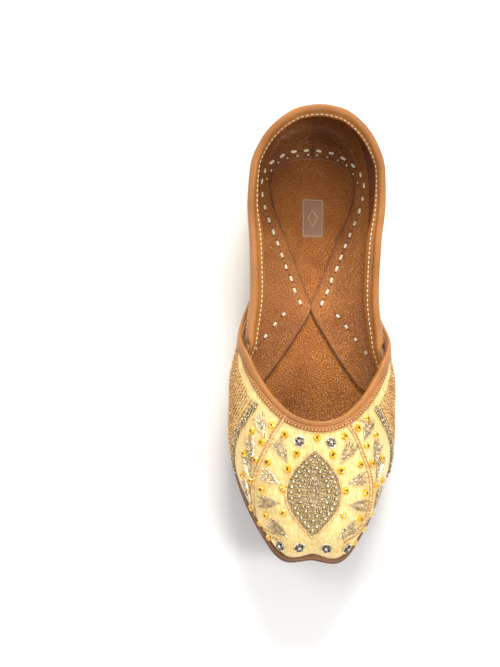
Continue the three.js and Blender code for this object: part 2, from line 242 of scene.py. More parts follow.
def outline(turn, inset):
    """A point on the sole's outline, moved square to it toward the inside."""
    at = np.mod(turn / 2, 1)
    place = [np.interp(at, around_share, around[:, k]) for k in (0, 1)]
    heading = [np.interp(at, around_share, around_heading[:, k]) for k in (0, 1)]
    return np.stack([place[0] + heading[1] * inset, place[1] - heading[0] * inset], -1)


def feather_inset(turn):
    """How far the feather line lies inside the sole's outline."""
    return FEATHER_AT_HEEL + (FEATHER_AT_TOE - FEATHER_AT_HEEL) * smooth(turn, 0.3, 0.5)


def last(turn, rise):
    """A point of the last."""
    turn, rise = np.broadcast_arrays(np.mod(np.asarray(turn, float), 2), np.asarray(rise, float))
    across = np.where(turn > 1, -1.0, 1.0)
    turn = np.where(turn > 1, 2 - turn, turn)
    foot = outline(turn, feather_inset(turn))
    outward = unit(outline(turn, 0) - foot)
    foot_z = underside(foot[..., 1]) + feather_height
    foot = np.concatenate([foot, foot_z[..., None]], -1)
    top = np.stack([c(turn) for c in opening], -1)
    wall = foot + np.concatenate([outward * rib_out(turn)[..., None], rib_up(turn)[..., None]], -1)
    fan = np.radians(rib_fan(turn))
    leave = [np.cos(fan) * rib_side(turn), -np.sin(fan) * rib_side(turn), -rib_down(turn)]
    roof = top + np.stack(leave, -1)
    t = rise[..., None]
    point = ((1 - t) ** 3 * foot + 3 * t * (1 - t) ** 2 * wall
             + 3 * t * t * (1 - t) * roof + t ** 3 * top)
    point[..., 0] *= across
    return point


def last_normal(turn, rise):
    """Unit vector out of the last."""
    probe = 0.004
    turn, rise = np.asarray(turn, float), np.asarray(rise, float)
    along = last(turn + probe, rise) - last(turn - probe, rise)
    climb = last(turn, np.minimum(1, rise + probe)) - last(turn, np.maximum(0, rise - probe))
    return unit(np.cross(climb, along))


def lifted(turn, rise, lift):
    """A point at a distance from the last. The lowest row stays on the feather line's plane."""
    point = last(turn, rise) + last_normal(turn, rise) * np.asarray(lift)[..., None]
    low = np.broadcast_to(np.asarray(rise) <= 0, point.shape[:-1])
    point[..., 2] = np.where(low, underside(point[..., 1]) + feather_height, point[..., 2])
    return point


def crease_depth(points):
    """How far the soft troughs and ridges move the cloth inward."""
    depth = np.zeros(points.shape[:-1])
    for start, end, width, deep in CREASES:
        start, end = np.array(start, float), np.array(end, float)
        axis = end - start
        t = np.clip((points - start) @ axis / (axis @ axis), 0, 1)
        away = np.linalg.norm(points - (start + t[..., None] * axis), axis=-1)
        depth += deep * np.exp(-(away / width) ** 2)
    return depth


# ------------------------------
# Meshes

def placed(name, data):
    """A new object of the scene."""
    obj = bpy.data.objects.new(name, data)
    bpy.context.scene.collection.objects.link(obj)
    return obj


def grid_faces(rows, cols, start=0, closed=False):
    """Quads over a grid of points, facing out where the columns climb the last."""
    i, j = np.meshgrid(np.arange(rows - 1), np.arange(cols if closed else cols - 1), indexing="ij")
    k = (j + 1) % cols
    quads = np.stack([i * cols + j, i * cols + k, (i + 1) * cols + k, (i + 1) * cols + j], -1)
    return quads.reshape(-1, 4) + start


# Edges sharper than this many degrees are shaded as edges, on sheets and on small solids.
SHEET_SHARP = 35
SOLID_SHARP = 50


def make(name, points, faces, material, slot=None, sharp=SHEET_SHARP, stands_for=(), weld=False):
    """A piece of the shoe from points in millimetres."""
    mesh = bpy.data.meshes.new(name)
    mesh.from_pydata((np.asarray(points) * MM).tolist(), [], [list(map(int, f)) for f in faces])
    shape = bmesh.new()
    shape.from_mesh(mesh)
    if weld:
        bmesh.ops.remove_doubles(shape, verts=shape.verts, dist=1e-6)
        bmesh.ops.dissolve_degenerate(shape, edges=shape.edges, dist=1e-7)
    bmesh.ops.recalc_face_normals(shape, faces=shape.faces)
    shape.to_mesh(mesh)
    shape.free()
    mesh.shade_smooth()
    mesh.set_sharp_from_angle(angle=math.radians(sharp))
    mesh.materials.append(material)
    obj = placed(name, mesh)
    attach(obj, "root")
    if stands_for:
        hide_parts(*stands_for)
    return obj


def shell(name, outer, inner, material, slot, stands_for):
    """A closed sheet between two grids of points."""
    rows, cols = outer.shape[:2]
    count = rows * cols
    index = np.arange(count).reshape(rows, cols)
    rim = np.concatenate([index[0, :], index[1:, -1], index[-1, -2::-1], index[-2:0:-1, 0]])
    after = np.roll(rim, -1)
    faces = np.vstack([
        grid_faces(rows, cols),
        grid_faces(rows, cols, count)[:, ::-1],
        np.stack([rim, after, after + count, rim + count], 1),
    ])
    points = np.vstack([outer.reshape(-1, 3), inner.reshape(-1, 3)])
    return make(name, points, faces, material, slot, stands_for=stands_for)


def tube(loops):
    """Points and faces of a closed solid from section loops, one after the other."""
    count, sides = loops.shape[:2]
    faces = grid_faces(count, sides, closed=True).tolist()
    faces.append(list(range(sides)))
    faces.append([(count - 1) * sides + k for k in reversed(range(sides))])
    return loops.reshape(-1, 3), faces


def sweep(name, loops, material, slot=None, stands_for=()):
    """A piece from section loops."""
    return make(name, *tube(loops), material, slot, SOLID_SHARP, stands_for)


def ball(lon, lat):
    """Unit sphere: points and faces."""
    points = [(0, 0, -1)]
    for i in range(1, lat):
        tilt = math.pi * i / lat
        for j in range(lon):
            turn = 2 * math.pi * j / lon
            points.append((math.sin(tilt) * math.cos(turn), math.sin(tilt) * math.sin(turn),
                           -math.cos(tilt)))
    points.append((0, 0, 1))
    faces = [(0, 1 + (j + 1) % lon, 1 + j) for j in range(lon)]
    faces += grid_faces(lat - 1, lon, 1, closed=True).tolist()
    end = len(points) - 1
    faces += [(end, end - lon + j, end - lon + (j + 1) % lon) for j in range(lon)]
    return np.array(points, float), faces


def corners(sides):
    """Angles of the corners of a regular polygon."""
    return np.arange(sides) * 2 * math.pi / sides


def turned(profile, sides, twist=0.0, wave=0.0, lobes=0):
    """A closed turned shape from (radius, height) pairs, its rim waved into lobes if asked."""
    loops = []
    for k, (radius, height) in enumerate(profile):
        reach = radius * (1 + wave * np.cos(lobes * corners(sides)))
        at = corners(sides) + twist * k
        loops.append(np.stack([reach * np.cos(at), reach * np.sin(at), np.full(sides, height)], 1))
    return tube(np.array(loops))


def coil(length, radius, rings=9):
    """Coiled wire along X: its radius steps in between the rings and tapers at both ends."""
    sides, groove, tip, taper = 6, 0.82, 0.55, 4
    angle = corners(sides)
    loops = []
    for i in range(2 * rings + 1):
        share = i / (2 * rings)
        reach = radius * (1 if i % 2 else groove) * min(1, tip + taper * min(share, 1 - share))
        along = np.full(sides, (share - 0.5) * length)
        loops.append(np.stack([along, reach * np.cos(angle), reach * np.sin(angle)], 1))
    return tube(np.array(loops))


def basis(normal, heading):
    """Axes along a heading, across it and off the surface, as columns."""
    normal = unit(np.asarray(normal, float))
    heading = np.asarray(heading, float)
    heading = unit(heading - np.sum(heading * normal, -1, keepdims=True) * normal)
    return np.stack([heading, np.cross(normal, heading), normal], -1)


class Crowd:
    """Many small shapes joined into one piece."""

    def __init__(self):
        self.points, self.faces, self.count = [], [], 0

    def add(self, shape, place, axes, size=(1, 1, 1)):
        points, faces = shape
        made = (points * np.asarray(size)) @ np.asarray(axes).T + np.asarray(place)
        self.points.append(made)
        self.faces += [[v + self.count for v in face] for face in faces]
        self.count += len(points)

    def spread(self, shape, places, axes, size=(1, 1, 1)):
        for place, axis in zip(places, axes):
            self.add(shape, place, axis, size)

    def follow(self, shape, places, normals, size, lift=0.0):
        """A shape at each place of a line, along the line."""
        self.spread(shape, places + normals * lift, basis(normals, headings(places)), size)

    def make(self, name, material, sharp=SOLID_SHARP):
        return make(name, np.vstack(self.points), self.faces, material, sharp=sharp)


class Skin:
    """A fine copy of a surface that finds places on it."""

    def __init__(self, points):
        rows, cols = points.shape[:2]
        self.points = points.reshape(-1, 3)
        self.quads = grid_faces(rows, cols)
        along = np.gradient(points, axis=0)
        climb = np.gradient(points, axis=1)
        self.normals = unit(np.cross(climb, along)).reshape(-1, 3)
        self.tree = BVHTree.FromPolygons(self.points.tolist(), self.quads.tolist())

    def normal_at(self, place, face):
        corner = self.quads[face]
        weight = 1 / (np.sum((self.points[corner] - place) ** 2, 1) + 1e-6)
        return unit(weight @ self.normals[corner])

    def found(self, hits):
        """Places and normals of the tree's hits."""
        places = np.array([hit[0] for hit in hits])
        return places, np.array([self.normal_at(place, hit[2]) for place, hit in zip(places, hits)])

    def near(self, points):
        return self.found([self.tree.find_nearest(Vector(p)) for p in np.atleast_2d(points)])

    def under(self, plan):
        """The places straight under the given plan points, or the nearest ones beside the surface."""
        above, beside = 200, 20
        hits = []
        for x, y in np.atleast_2d(plan):
            hit = self.tree.ray_cast(Vector((x, y, above)), Vector((0, 0, -1)))
            hits.append(self.tree.find_nearest(Vector((x, y, beside))) if hit[0] is None else hit)
        return self.found(hits)


def both_sides(*rows):
    """Vectors of the right side and then of the left, each time with the mirror's signs before."""
    for flip in (np.array([1, 1, 1]), np.array([-1, 1, 1])):
        for row in zip(*rows):
            yield flip, *(vector * flip for vector in row)


def headings(points):
    """Unit vectors along a line."""
    return unit(np.gradient(np.asarray(points), axis=0))


def across_plan(heading):
    """Plan vectors turned a quarter to their left."""
    return np.stack([-heading[:, 1], heading[:, 0]], 1)


def cord_loops(points, normals, radius, sides=8, ply=2):
    """Sections of a twisted cord lying on a surface."""
    lay, groove, sunk = 3.2, 0.16, 0.4
    axes = basis(normals, headings(points))
    angle = corners(sides)
    phase = 2 * math.pi * run_length(points)[:, None] / lay
    reach = radius * (1 + groove * np.cos(ply * (angle - phase)))
    across, off = axes[..., 1], axes[..., 2]
    offset = (across[:, None] * (reach * np.cos(angle))[..., None]
              + off[:, None] * (reach * np.sin(angle))[..., None])
    return points[:, None] + off[:, None] * radius * (1 - sunk) + offset


# ------------------------------
# Materials

def tone(red, green, blue):
    """A display colour as the scene's linear colour."""
    share = np.array([red, green, blue]) / 255
    linear = np.where(share <= 0.04045, share / 12.92, ((share + 0.055) / 1.055) ** 2.4)
    return (*linear.tolist(), 1.0)


class Finish:
    """A procedural material: a Principled shader, patterns in object space, colours and bumps."""

    def __init__(self, name, roughness, metallic=0.0, specular=0.5):
        self.material = bpy.data.materials.new(name)
        self.material.use_nodes = True
        tree = self.material.node_tree
        self.nodes, self.links = tree.nodes, tree.links
        self.shader = self.nodes["Principled BSDF"]
        self.shader.inputs["Specular IOR Level"].default_value = specular
        self.fill(self.shader, roughness=roughness, metallic=metallic)
        self.place = self.nodes.new("ShaderNodeTexCoord").outputs["Object"]
        self.bumped = None

    def fill(self, node, **inputs):
        """Sets a node's inputs to values, or links them to the sockets given."""
        for name, value in inputs.items():
            socket = node.inputs[name.replace("_", " ").title()]
            if isinstance(value, bpy.types.NodeSocket):
                self.links.new(value, socket)
            else:
                socket.default_value = value
        return node

    def node(self, kind, **inputs):
        return self.fill(self.nodes.new("ShaderNode" + kind), **inputs)

    def mapped(self, scale):
        scale = scale if isinstance(scale, tuple) else (scale,) * 3
        return self.node("Mapping", vector=self.place, scale=[s / MM for s in scale]).outputs[0]

    def noise(self, scale, detail=3.0, rough=0.55, distortion=0.0):
        """Noise with cells of about 1 / scale millimetres along each axis."""
        return self.node("TexNoise", vector=self.mapped(scale), scale=1, detail=detail,
                         roughness=rough, distortion=distortion).outputs["Fac"]

    def cells(self, scale):
        """Distance to the edges of pebbles of about 1 / scale millimetres."""
        node = self.node("TexVoronoi", vector=self.mapped(scale), scale=1)
        node.feature = "DISTANCE_TO_EDGE"
        return node.outputs["Distance"]

    def stripes(self, scale, axis, distortion=0.0):
        """Bands across an axis, "scale" of them to the millimetre."""
        node = self.node("TexWave", vector=self.mapped(1), scale=scale * math.pi / 10,
                         distortion=distortion)
        node.bands_direction = axis
        return node.outputs["Fac"]

    def blend(self, low, high, share):
        """A mix of two colours by a share."""
        node = self.nodes.new("ShaderNodeMix")
        node.data_type = "RGBA"
        share_input, low_input, high_input, colour_output = 0, 6, 7, 2
        for socket, value in ((share_input, share), (low_input, low), (high_input, high)):
            if isinstance(value, tuple):
                node.inputs[socket].default_value = value
            else:
                self.links.new(value, node.inputs[socket])
        return node.outputs[colour_output]

    def ramp(self, value, *stops):
        """A colour ramp or, with plain numbers as colours, a curve of grey levels."""
        node = self.node("ValToRGB", fac=value)
        elements = node.color_ramp.elements
        while len(elements) < len(stops):
            elements.new(0.5)
        for element, (place, colour) in zip(elements, stops):
            element.position = place
            element.color = colour if isinstance(colour, tuple) else (colour, colour, colour, 1)
        return node.outputs["Color"]

    def rearward(self, start, end, most):
        """A share that grows toward the heel, between two places along Y in millimetres."""
        y = self.node("SeparateXYZ", vector=self.place).outputs["Y"]
        node = self.node("MapRange", value=y, from_min=start * MM, from_max=end * MM, to_max=most)
        node.interpolation_type = "SMOOTHSTEP"
        return node.outputs["Result"]

    def roughness(self, value, low, high):
        node = self.node("MapRange", value=value, to_min=low, to_max=high)
        self.fill(self.shader, roughness=node.outputs["Result"])

    def bump(self, height, depth, strength):
        """A bump of a depth in millimetres, over the ones before it."""
        node = self.node("Bump", height=height, distance=depth * MM, strength=strength)
        if self.bumped is not None:
            self.fill(node, normal=self.bumped)
        self.bumped = node.outputs["Normal"]
        self.fill(self.shader, normal=self.bumped)


# Where a painted shade darkens the leather inside the shoe toward the heel, along Y.
PAINTED_HEEL_SHADE = (52, 104)


def leather(name, dark, light, grain, depth, roughness, coat=0.0, creased=0.4, heel_shade=0.0):
    """Grained leather. Its last argument is how far a painted shade darkens it toward the heel."""
    dark, light = tone(*dark), tone(*light)
    finish = Finish(name, roughness[0])
    patches = finish.noise(0.05, 4)
    specks = finish.noise(grain * 1.6, 4)
    base = finish.blend(dark, light, finish.ramp(patches, (0.3, 0.0), (0.7, 1.0)))
    base = finish.blend(base, dark, finish.ramp(specks, (0.45, 0.0), (0.75, 0.55)))
    pebbles = finish.ramp(finish.cells(grain), (0.0, 0.0), (0.2, 1.0))
    furrow_and_shade = tuple(0.45 * part for part in dark[:3]) + (1.0,)
    base = finish.blend(base, furrow_and_shade, finish.ramp(pebbles, (0.0, creased), (0.8, 0.0)))
    # Painted shade: the leather blends toward its furrow tone on the way to the heel.
    if heel_shade:
        base = finish.blend(base, furrow_and_shade, finish.rearward(*PAINTED_HEEL_SHADE, heel_shade))
    finish.fill(finish.shader, base_color=base, coat_weight=coat, coat_roughness=0.3)
    finish.roughness(patches, *roughness)
    finish.bump(pebbles, depth, 0.9)
    finish.bump(finish.noise(grain * 0.5, 5, distortion=1.2), depth * 2.4, 0.8)
    return finish.material


def cloth(name, along):
    """Cream and gold tissue silk. "along" is the mapping scale that stretches its slubs."""
    finish = Finish(name, 0.42, metallic=0.12)
    slubs = finish.noise(along, 5, 0.6)
    clouds = finish.noise(0.06)
    base = finish.ramp(slubs, (0.28, tone(206, 168, 92)), (0.5, tone(234, 204, 134)),
                       (0.72, tone(250, 230, 170)))
    base = finish.blend(base, tone(226, 190, 116), finish.ramp(clouds, (0.4, 0.0), (0.7, 0.55)))
    finish.fill(finish.shader, base_color=base, sheen_weight=0.35, sheen_roughness=0.4,
                anisotropic=0.4)
    finish.roughness(slubs, 0.5, 0.34)
    threads_per_mm, thread_depth = 2.2, 0.05
    for axis, strength in (("X", 0.5), ("Y", 0.5), ("Z", 0.4)):
        finish.bump(finish.stripes(threads_per_mm, axis), thread_depth, strength)
    finish.bump(slubs, 0.16, 0.6)
    finish.bump(finish.noise(0.22), 0.5, 0.35)
    return finish.material


def metal(name, dark, light, roughness, metallic, scale=0.9):
    """Metal with wear in spots of about 1 / scale millimetres."""
    finish = Finish(name, roughness, metallic)
    wear = finish.noise(scale)
    base = finish.ramp(wear, (0.35, tone(*dark)), (0.65, tone(*light)))
    finish.fill(finish.shader, base_color=base)
    finish.roughness(wear, roughness * 1.35, roughness * 0.7)
    finish.bump(finish.noise(3.2, 2), 0.06, 0.5)
    return finish.material


def thread(name, dark, light, roughness=0.7):
    """Twisted thread."""
    finish = Finish(name, roughness)
    base = finish.ramp(finish.noise(2.4), (0.3, tone(*dark)), (0.65, tone(*light)))
    finish.fill(finish.shader, base_color=base, sheen_weight=0.3)
    finish.bump(finish.stripes(2.6, "DIAGONAL", distortion=1.5), 0.12, 0.6)
    return finish.material


def crystal(name, deep, bright):
    """Foil-backed cut glass."""
    finish = Finish(name, 0.08, 0.35, 0.8)
    base = finish.ramp(finish.noise(0.9, 2), (0.35, tone(*deep)), (0.6, tone(*bright)))
    finish.fill(finish.shader, base_color=base, coat_weight=0.8, coat_roughness=0.05)
    return finish.material


SOLE_BROWN = leather("sole_brown", (98, 60, 36), (144, 92, 57), 0.9, 0.14, (0.5, 0.7))
WELT_PALE = leather("welt_pale", (116, 80, 50), (162, 118, 78), 1.2, 0.1, (0.55, 0.7))
# Bed, flap and lining carry a painted shade toward the heel.
BED_RUSSET = leather("bed_russet", (168, 94, 30), (214, 134, 52), 0.85, 0.42, (0.26, 0.38),
                     coat=0.15, creased=0.6, heel_shade=0.55)
FLAP_BROWN = leather("flap_brown", (158, 90, 34), (200, 126, 54), 0.85, 0.36, (0.3, 0.42),
                     coat=0.1, creased=0.5, heel_shade=0.6)
# Raw edge of the turned-in lining: its own leather tone, darkened to paint the shadow line along the
# flap's edge.
RAW_EDGE_AND_SHADE = leather("raw_edge_and_shade", (104, 60, 32), (148, 94, 54), 1.6, 0.06, (0.5, 0.65))
LINING_BROWN = leather("lining_brown", (104, 54, 32), (142, 80, 44), 0.8, 0.16, (0.36, 0.55),
                       heel_shade=0.45)
EDGING_TAN = leather("edging_tan", (158, 96, 34), (190, 122, 48), 1.6, 0.1, (0.3, 0.44),
                     coat=0.15, creased=0.25)
VAMP_SILK = cloth("vamp_silk", (0.9, 0.28, 0.9))
QUARTER_SILK = cloth("quarter_silk", (0.16, 0.1, 1.5))
GOLD_BEAD = metal("gold_bead", (160, 108, 56), (236, 194, 130), 0.26, 0.55)
OLD_GOLD = metal("old_gold", (112, 92, 58), (206, 184, 138), 0.22, 0.65)
PALE_CORD = metal("pale_cord", (190, 146, 84), (242, 212, 156), 0.42, 0.35)
PURL = metal("silver_gold_purl", (146, 118, 82), (246, 230, 196), 0.22, 0.65)
SEED = metal("silver_seed", (110, 92, 66), (232, 214, 178), 0.2, 0.7, 1.4)
SEQUIN = metal("sequin", (214, 190, 140), (250, 240, 214), 0.2, 0.5)
DARK_SILVER = metal("dark_silver", (52, 44, 38), (160, 148, 132), 0.25, 0.9)
AMBER = crystal("amber", (228, 150, 0), (255, 212, 0))
# Dark amber on the stones' middle facets: a painted dark reflection.
AMBER_DARK_REFLECTION = crystal("amber_dark_reflection", (70, 40, 0), (176, 104, 0))
CLEAR = crystal("clear_crystal", (150, 144, 134), (236, 230, 218))
COTTON = thread("cotton", (206, 186, 148), (250, 240, 214))
EDGE_THREAD = thread("edge_thread", (212, 158, 96), (246, 208, 152))
# Needle holes: dark dots that paint the shade inside the holes.
HOLE_SHADE = thread("needle_hole_shade", (52, 28, 14), (86, 48, 26), 0.9)
PATCH = leather("patch_grey", (140, 100, 74), (168, 128, 100), 2.2, 0.05, (0.4, 0.55))
FOIL = metal("foil", (206, 176, 108), (240, 220, 160), 0.3, 0.7)


# ------------------------------
# Camera, lights and floor

CAMERA_PLACE = (-113.28, -310.9, 1133.15)
CAMERA_RIGHT = (0.9969, 0.01773, 0.07666)
CAMERA_BACK = (-0.06922, -0.26567, 0.96157)
CAMERA_LENS = 118.74
SENSOR_WIDTH = 36

# Lights: name, place, target and size in metres, power in watts, colour.
LIGHTS = [
    ("key", (0.1, 1.1, 0.85), (0, 0, 0.02), (0.6, 0.4), 21, (1, 0.985, 0.95)),
    ("right", (0.75, -0.4, 0.9), (0, -0.04, 0.02), (0.4, 0.5), 8, (1, 0.99, 0.97)),
    ("left", (-0.8, 0.1, 0.8), (0, 0, 0.02), (0.5, 0.5), 4, (1, 0.99, 0.97)),
    ("front", (-0.3, -0.85, 0.9), (0, -0.05, 0.02), (0.6, 0.4), 3, (1, 0.99, 0.98)),
]
SKY_COLOUR = (1.0, 0.99, 0.975, 1)
SKY_STRENGTH = 0.47
FLOOR_REACH = 3.0


def camera():
    """The photograph's viewing angle."""
    right, back = Vector(CAMERA_RIGHT), Vector(CAMERA_BACK).normalized()
    up = back.cross(right).normalized()
    data = bpy.data.cameras.new("camera")
    data.sensor_width = SENSOR_WIDTH
    data.lens = CAMERA_LENS
    obj = placed("camera", data)
    turn = Matrix((up.cross(back), up, back)).transposed().to_4x4()
    obj.matrix_world = Matrix.Translation(Vector(CAMERA_PLACE) * MM) @ turn
    bpy.context.scene.camera = obj


def area_light(name, place, target, size, power, colour):
    """A rectangular light that faces its target."""
    data = bpy.data.lights.new(name, "AREA")
    data.shape = "RECTANGLE"
    data.size, data.size_y = size
    data.energy = power
    data.color = colour
    obj = placed(name, data)
    obj.location = place
    obj.rotation_mode = "QUATERNION"
    obj.rotation_quaternion = (Vector(target) - Vector(place)).to_track_quat("-Z", "Y")


def studio():
    """A pale room with four soft lights and a paper floor."""
    scene = bpy.context.scene
    scene.view_settings.view_transform = "Standard"
    world = bpy.data.worlds.new("studio")
    world.use_nodes = True
    background = world.node_tree.nodes["Background"]
    background.inputs["Color"].default_value = SKY_COLOUR
    background.inputs["Strength"].default_value = SKY_STRENGTH
    scene.world = world
    for light in LIGHTS:
        area_light(*light)
    paper = Finish("floor_paper", 0.85, specular=0.2)
    base = paper.blend((0.78, 0.78, 0.785, 1), (0.8, 0.8, 0.8, 1), paper.noise(0.02, 2))
    paper.fill(paper.shader, base_color=base)
    mesh = bpy.data.meshes.new("floor")
    signs = ((-1, -1), (1, -1), (1, 1), (-1, 1))
    mesh.from_pydata([(x * FLOOR_REACH, y * FLOOR_REACH, 0) for x, y in signs], [], [(0, 1, 2, 3)])
    mesh.materials.append(paper.material)
    floor = placed("floor", mesh)


# ------------------------------
# Sole and foot bed

# Ends of the middle line, along Y, that the flat faces of a sole layer close in on.
SPINE = (-94, 92)


def plate(name, inset, low, high, rounding, material, slot, node):
    """A flat piece of the sole's plan with rounded edges, bent along the toe spring."""
    sides = 360
    turn = np.arange(sides) * 2 / sides
    flank = np.minimum(turn, 2 - turn)
    arc = np.linspace(0, math.pi / 2, 5)
    edge = [(rounding * (1 - math.sin(a)), low + rounding * (1 - math.cos(a))) for a in arc]
    edge += [(rounding * (1 - math.cos(a)), high - rounding * (1 - math.sin(a))) for a in arc]
    loops = []

    def loop(extra, height, share):
        plan = outline(turn, inset(flank) + extra)
        spine = np.stack([np.zeros(sides), np.clip(plan[:, 1], *SPINE)], 1)
        plan = spine + (plan - spine) * share
        loops.append(np.concatenate([plan, (underside(plan[:, 1]) + height)[:, None]], 1))

    shares = np.linspace(0, 1, 9)[:-1]
    for share in shares:
        loop(rounding, low, share)
    for extra, height in edge:
        loop(extra, height, 1)
    for share in shares[::-1]:
        loop(rounding, high, share)
    loops = np.array(loops)
    faces = grid_faces(len(loops), sides, closed=True)
    return make(name, loops.reshape(-1, 3), faces, material, slot, 40, (node,), weld=True)


def bed_inset(turn):
    """How far the foot bed's edge lies inside the sole's outline."""
    return feather_inset(turn) + QUARTER_WALL + GAP


# Width of the seam where the two sides of the turned-in lining meet.
SEAM = 0.03


def flap_edge_line():
    """Inner edge of the lining turned in on the right side, in plan."""
    line = spline(FLAP_EDGE, 24, power=0)
    line[:, 0] = np.maximum(line[:, 0], SEAM / 2)
    return line


def flap_top_points(across, sink=0.0):
    """Upper face of the turned-in lining: flat over the foot bed, then curled up the wall."""
    rounded, edge_steps, curl_run, curl_rise = 0.8, 5, 8.5, 0.3
    inner = evenly(flap_edge_line(), 0.9)
    turn = np.linspace(0, FLAP_FRONT_TURN, len(inner))
    off_wall = -QUARTER_WALL - 0.04 + sink
    corner, climb = lifted(turn, 0.02, off_wall), lifted(turn, curl_rise, off_wall)
    for line in (corner, climb):
        line[:, 0] = np.maximum(line[:, 0], SEAM / 2)
    width = np.linalg.norm(corner[:, :2] - inner, axis=1)
    flat = np.maximum(width - curl_run, 0.25 * width)
    step = np.concatenate([np.linspace(0, rounded, edge_steps), np.linspace(0, 1, 16)[1:]])
    from_edge = np.where(np.arange(len(step)) < edge_steps, step,
                         rounded + step * (flat[:, None] - rounded))
    outward = (corner[:, :2] - inner) / width[:, None]
    plan = inner[:, None] + outward[:, None] * from_edge[..., None]
    drop = rounded * (1 - np.sqrt(1 - (1 - np.clip(from_edge / rounded, 0, 1)) ** 2))
    raised = 0.45 * np.exp(-from_edge / 3)
    ripple = 0.2 * np.sin(plan[..., 1] * 0.35 + plan[..., 0] * 0.2) * smooth(from_edge, 1, 6)
    height = underside(plan[..., 1]) + flap_top + raised - drop + ripple - sink
    level = np.concatenate([plan, height[..., None]], -1)
    corner[:, 2] = underside(corner[:, 1]) + flap_top - sink
    t = np.linspace(0, 1, 18)[1:, None]
    start = level[:, -1][:, None]
    curl = (1 - t) ** 2 * start + 2 * t * (1 - t) * corner[:, None] + t * t * climb[:, None]
    return np.concatenate([level, curl], 1) * (across, 1, 1)


def flap(across, name, node):
    """Lining turned in at one side, with its raw inner edge, whose darker tone paints the shadow line
    along it.
    """
    thickness, edge_radius, edge_drop = 0.95, 0.46, 0.55
    top = flap_top_points(across)
    shell(name, top, flap_top_points(across, thickness), FLAP_BROWN, "lining_leather", (node,))
    edge = top[:, 1] - (0, 0, edge_drop)
    normals = np.tile((0.0, 0.0, 1.0), (len(edge), 1))
    sweep(name + "_edge", cord_loops(edge, normals, edge_radius, ply=0), RAW_EDGE_AND_SHADE, "lining_leather")
    return Skin(top)


# Along Y: where both sides of the turned-in lining meet, and where the second row of stitches ends.
MEETING_Y = 17
SECOND_ROW_Y = 84

# Stitches on the front part of the turned-in lining: x, y.
FRONT_STITCHES = [(14.5, 11.2), (18.9, 5.1), (24.1, -1.6), (29.4, -9)]


def bed_stitches(skin):
    """Hand stitches that hold the turned-in lining, laid on its right side and mirrored."""
    crowd, holes = Crowd(), Crowd()
    shape = ball(10, 6)
    edge = flap_edge_line()
    rear = edge[:int(np.argmax(edge[:, 1] < MEETING_Y)) + 1]
    outward = across_plan(headings(rear))
    main_row = evenly(rear + outward * 5, 6.9, 2.5)
    second_row = evenly((rear + outward * 2.4)[rear[:, 1] > SECOND_ROW_Y], 5.6, 2)
    for line, size in (
        (main_row, (1.9, 0.85, 0.6)),
        (second_row, (1.1, 0.45, 0.35)),
        (np.array(FRONT_STITCHES), (1.5, 0.85, 0.6)),
    ):
        lean = np.pad(headings(line), ((0, 0), (0, 1)))
        line = line + chance.normal(0, 0.15, line.shape)
        for flip, place, normal, heading in both_sides(*skin.under(line), lean):
            tilt = chance.normal(0, 0.13) * flip[0]
            axes = basis(normal, heading + tilt * np.array([-heading[1], heading[0], 0]))
            grow = chance.uniform(0.84, 1.1)
            middle = place + normal * 0.15
            crowd.add(shape, middle, axes, np.array(size) * (grow, 1, 1))
            # Dark dots at both ends of each stitch paint the shade of its needle holes.
            for end in (-1, 1):
                hole = middle + axes[:, 0] * end * size[0] * grow * 1.02 - axes[:, 2] * 0.12
                holes.add(shape, hole, axes, (0.6, 0.6, 0.2))
    crowd.make("bed_stitches", COTTON)
    holes.make("bed_stitch_holes", HOLE_SHADE)


# Patch on the heel bed: half width and half length, middle, and half sizes of its lozenge.
PATCH_HALF = np.array([6.0, 11.2])
PATCH_MIDDLE = np.array([0.6, 66.0])
LOZENGE_HALF = np.array([2.6, 4.6])


def heel_patch():
    """A plain patch on the heel bed, with a foil border and a lozenge."""
    surface = bed_height + 0.06
    square = np.array([(1, 1), (-1, 1), (-1, -1), (1, -1)])
    diamond = np.array([(0, -1), (1, 0), (0, 1), (-1, 0)])
    profile = ((0.98, -1), (1, -0.6), (1, 0.6), (0.98, 1))
    block = tube(np.array([[(x * reach, y * reach, z) for x, y in square] for reach, z in profile]))
    foil = Crowd()
    for loop, thick in ((square * (PATCH_HALF - 1), 0.12), (diamond * LOZENGE_HALF, 0.15)):
        for start, end in zip(loop, np.roll(loop, -1, 0)):
            place = (*((start + end) / 2 + PATCH_MIDDLE), surface + 0.12)
            half_run = np.linalg.norm(end - start) / 2
            foil.add(block, place, basis((0, 0, 1), (*(end - start), 0)), (half_run, thick, 0.07))
    foil.make("heel_patch_foil", FOIL)
    sides, squareness = 32, 0.14
    wave = np.stack([np.cos(corners(sides)), np.sin(corners(sides))], 1)
    squircle = np.sign(wave) * np.abs(wave) ** squareness * PATCH_HALF
    loops = []
    for share, lift in ((0.0, 0.1), (0.5, 0.1), (0.96, 0.1), (1.0, 0.0), (1.0, -0.2)):
        plan = squircle * share + PATCH_MIDDLE
        loops.append(np.concatenate([plan, np.full((sides, 1), surface + lift)], 1))
    points, faces = tube(np.array(loops))
    first_cap = -2
    del faces[first_cap]  # The first loop is a single point, which needs no cap.
    make("heel_patch", points, faces, PATCH, weld=True)


def sole():
    """Sole layers, foot bed and everything that lies on it."""
    plate("outsole_layer", lambda t: 0 * t, 0, OUTSOLE_THICKNESS, 1.0, SOLE_BROWN,
          "outsole_leather", "outsole")
    plate("midsole_layer", lambda t: 0 * t + 0.25, midsole_bottom, midsole_bottom + MIDSOLE_THICKNESS,
          0.6, WELT_PALE, "midsole_leather", "midsole")
    plate("insole_bed", bed_inset, feather_height, bed_height, 0.4, BED_RUSSET,
          "insole_leather", "insole")
    flap(-1, "flap_left", "lining_flap_left")
    bed_stitches(flap(1, "flap_right", "lining_flap_right"))
    heel_patch()


# ------------------------------
# Upper

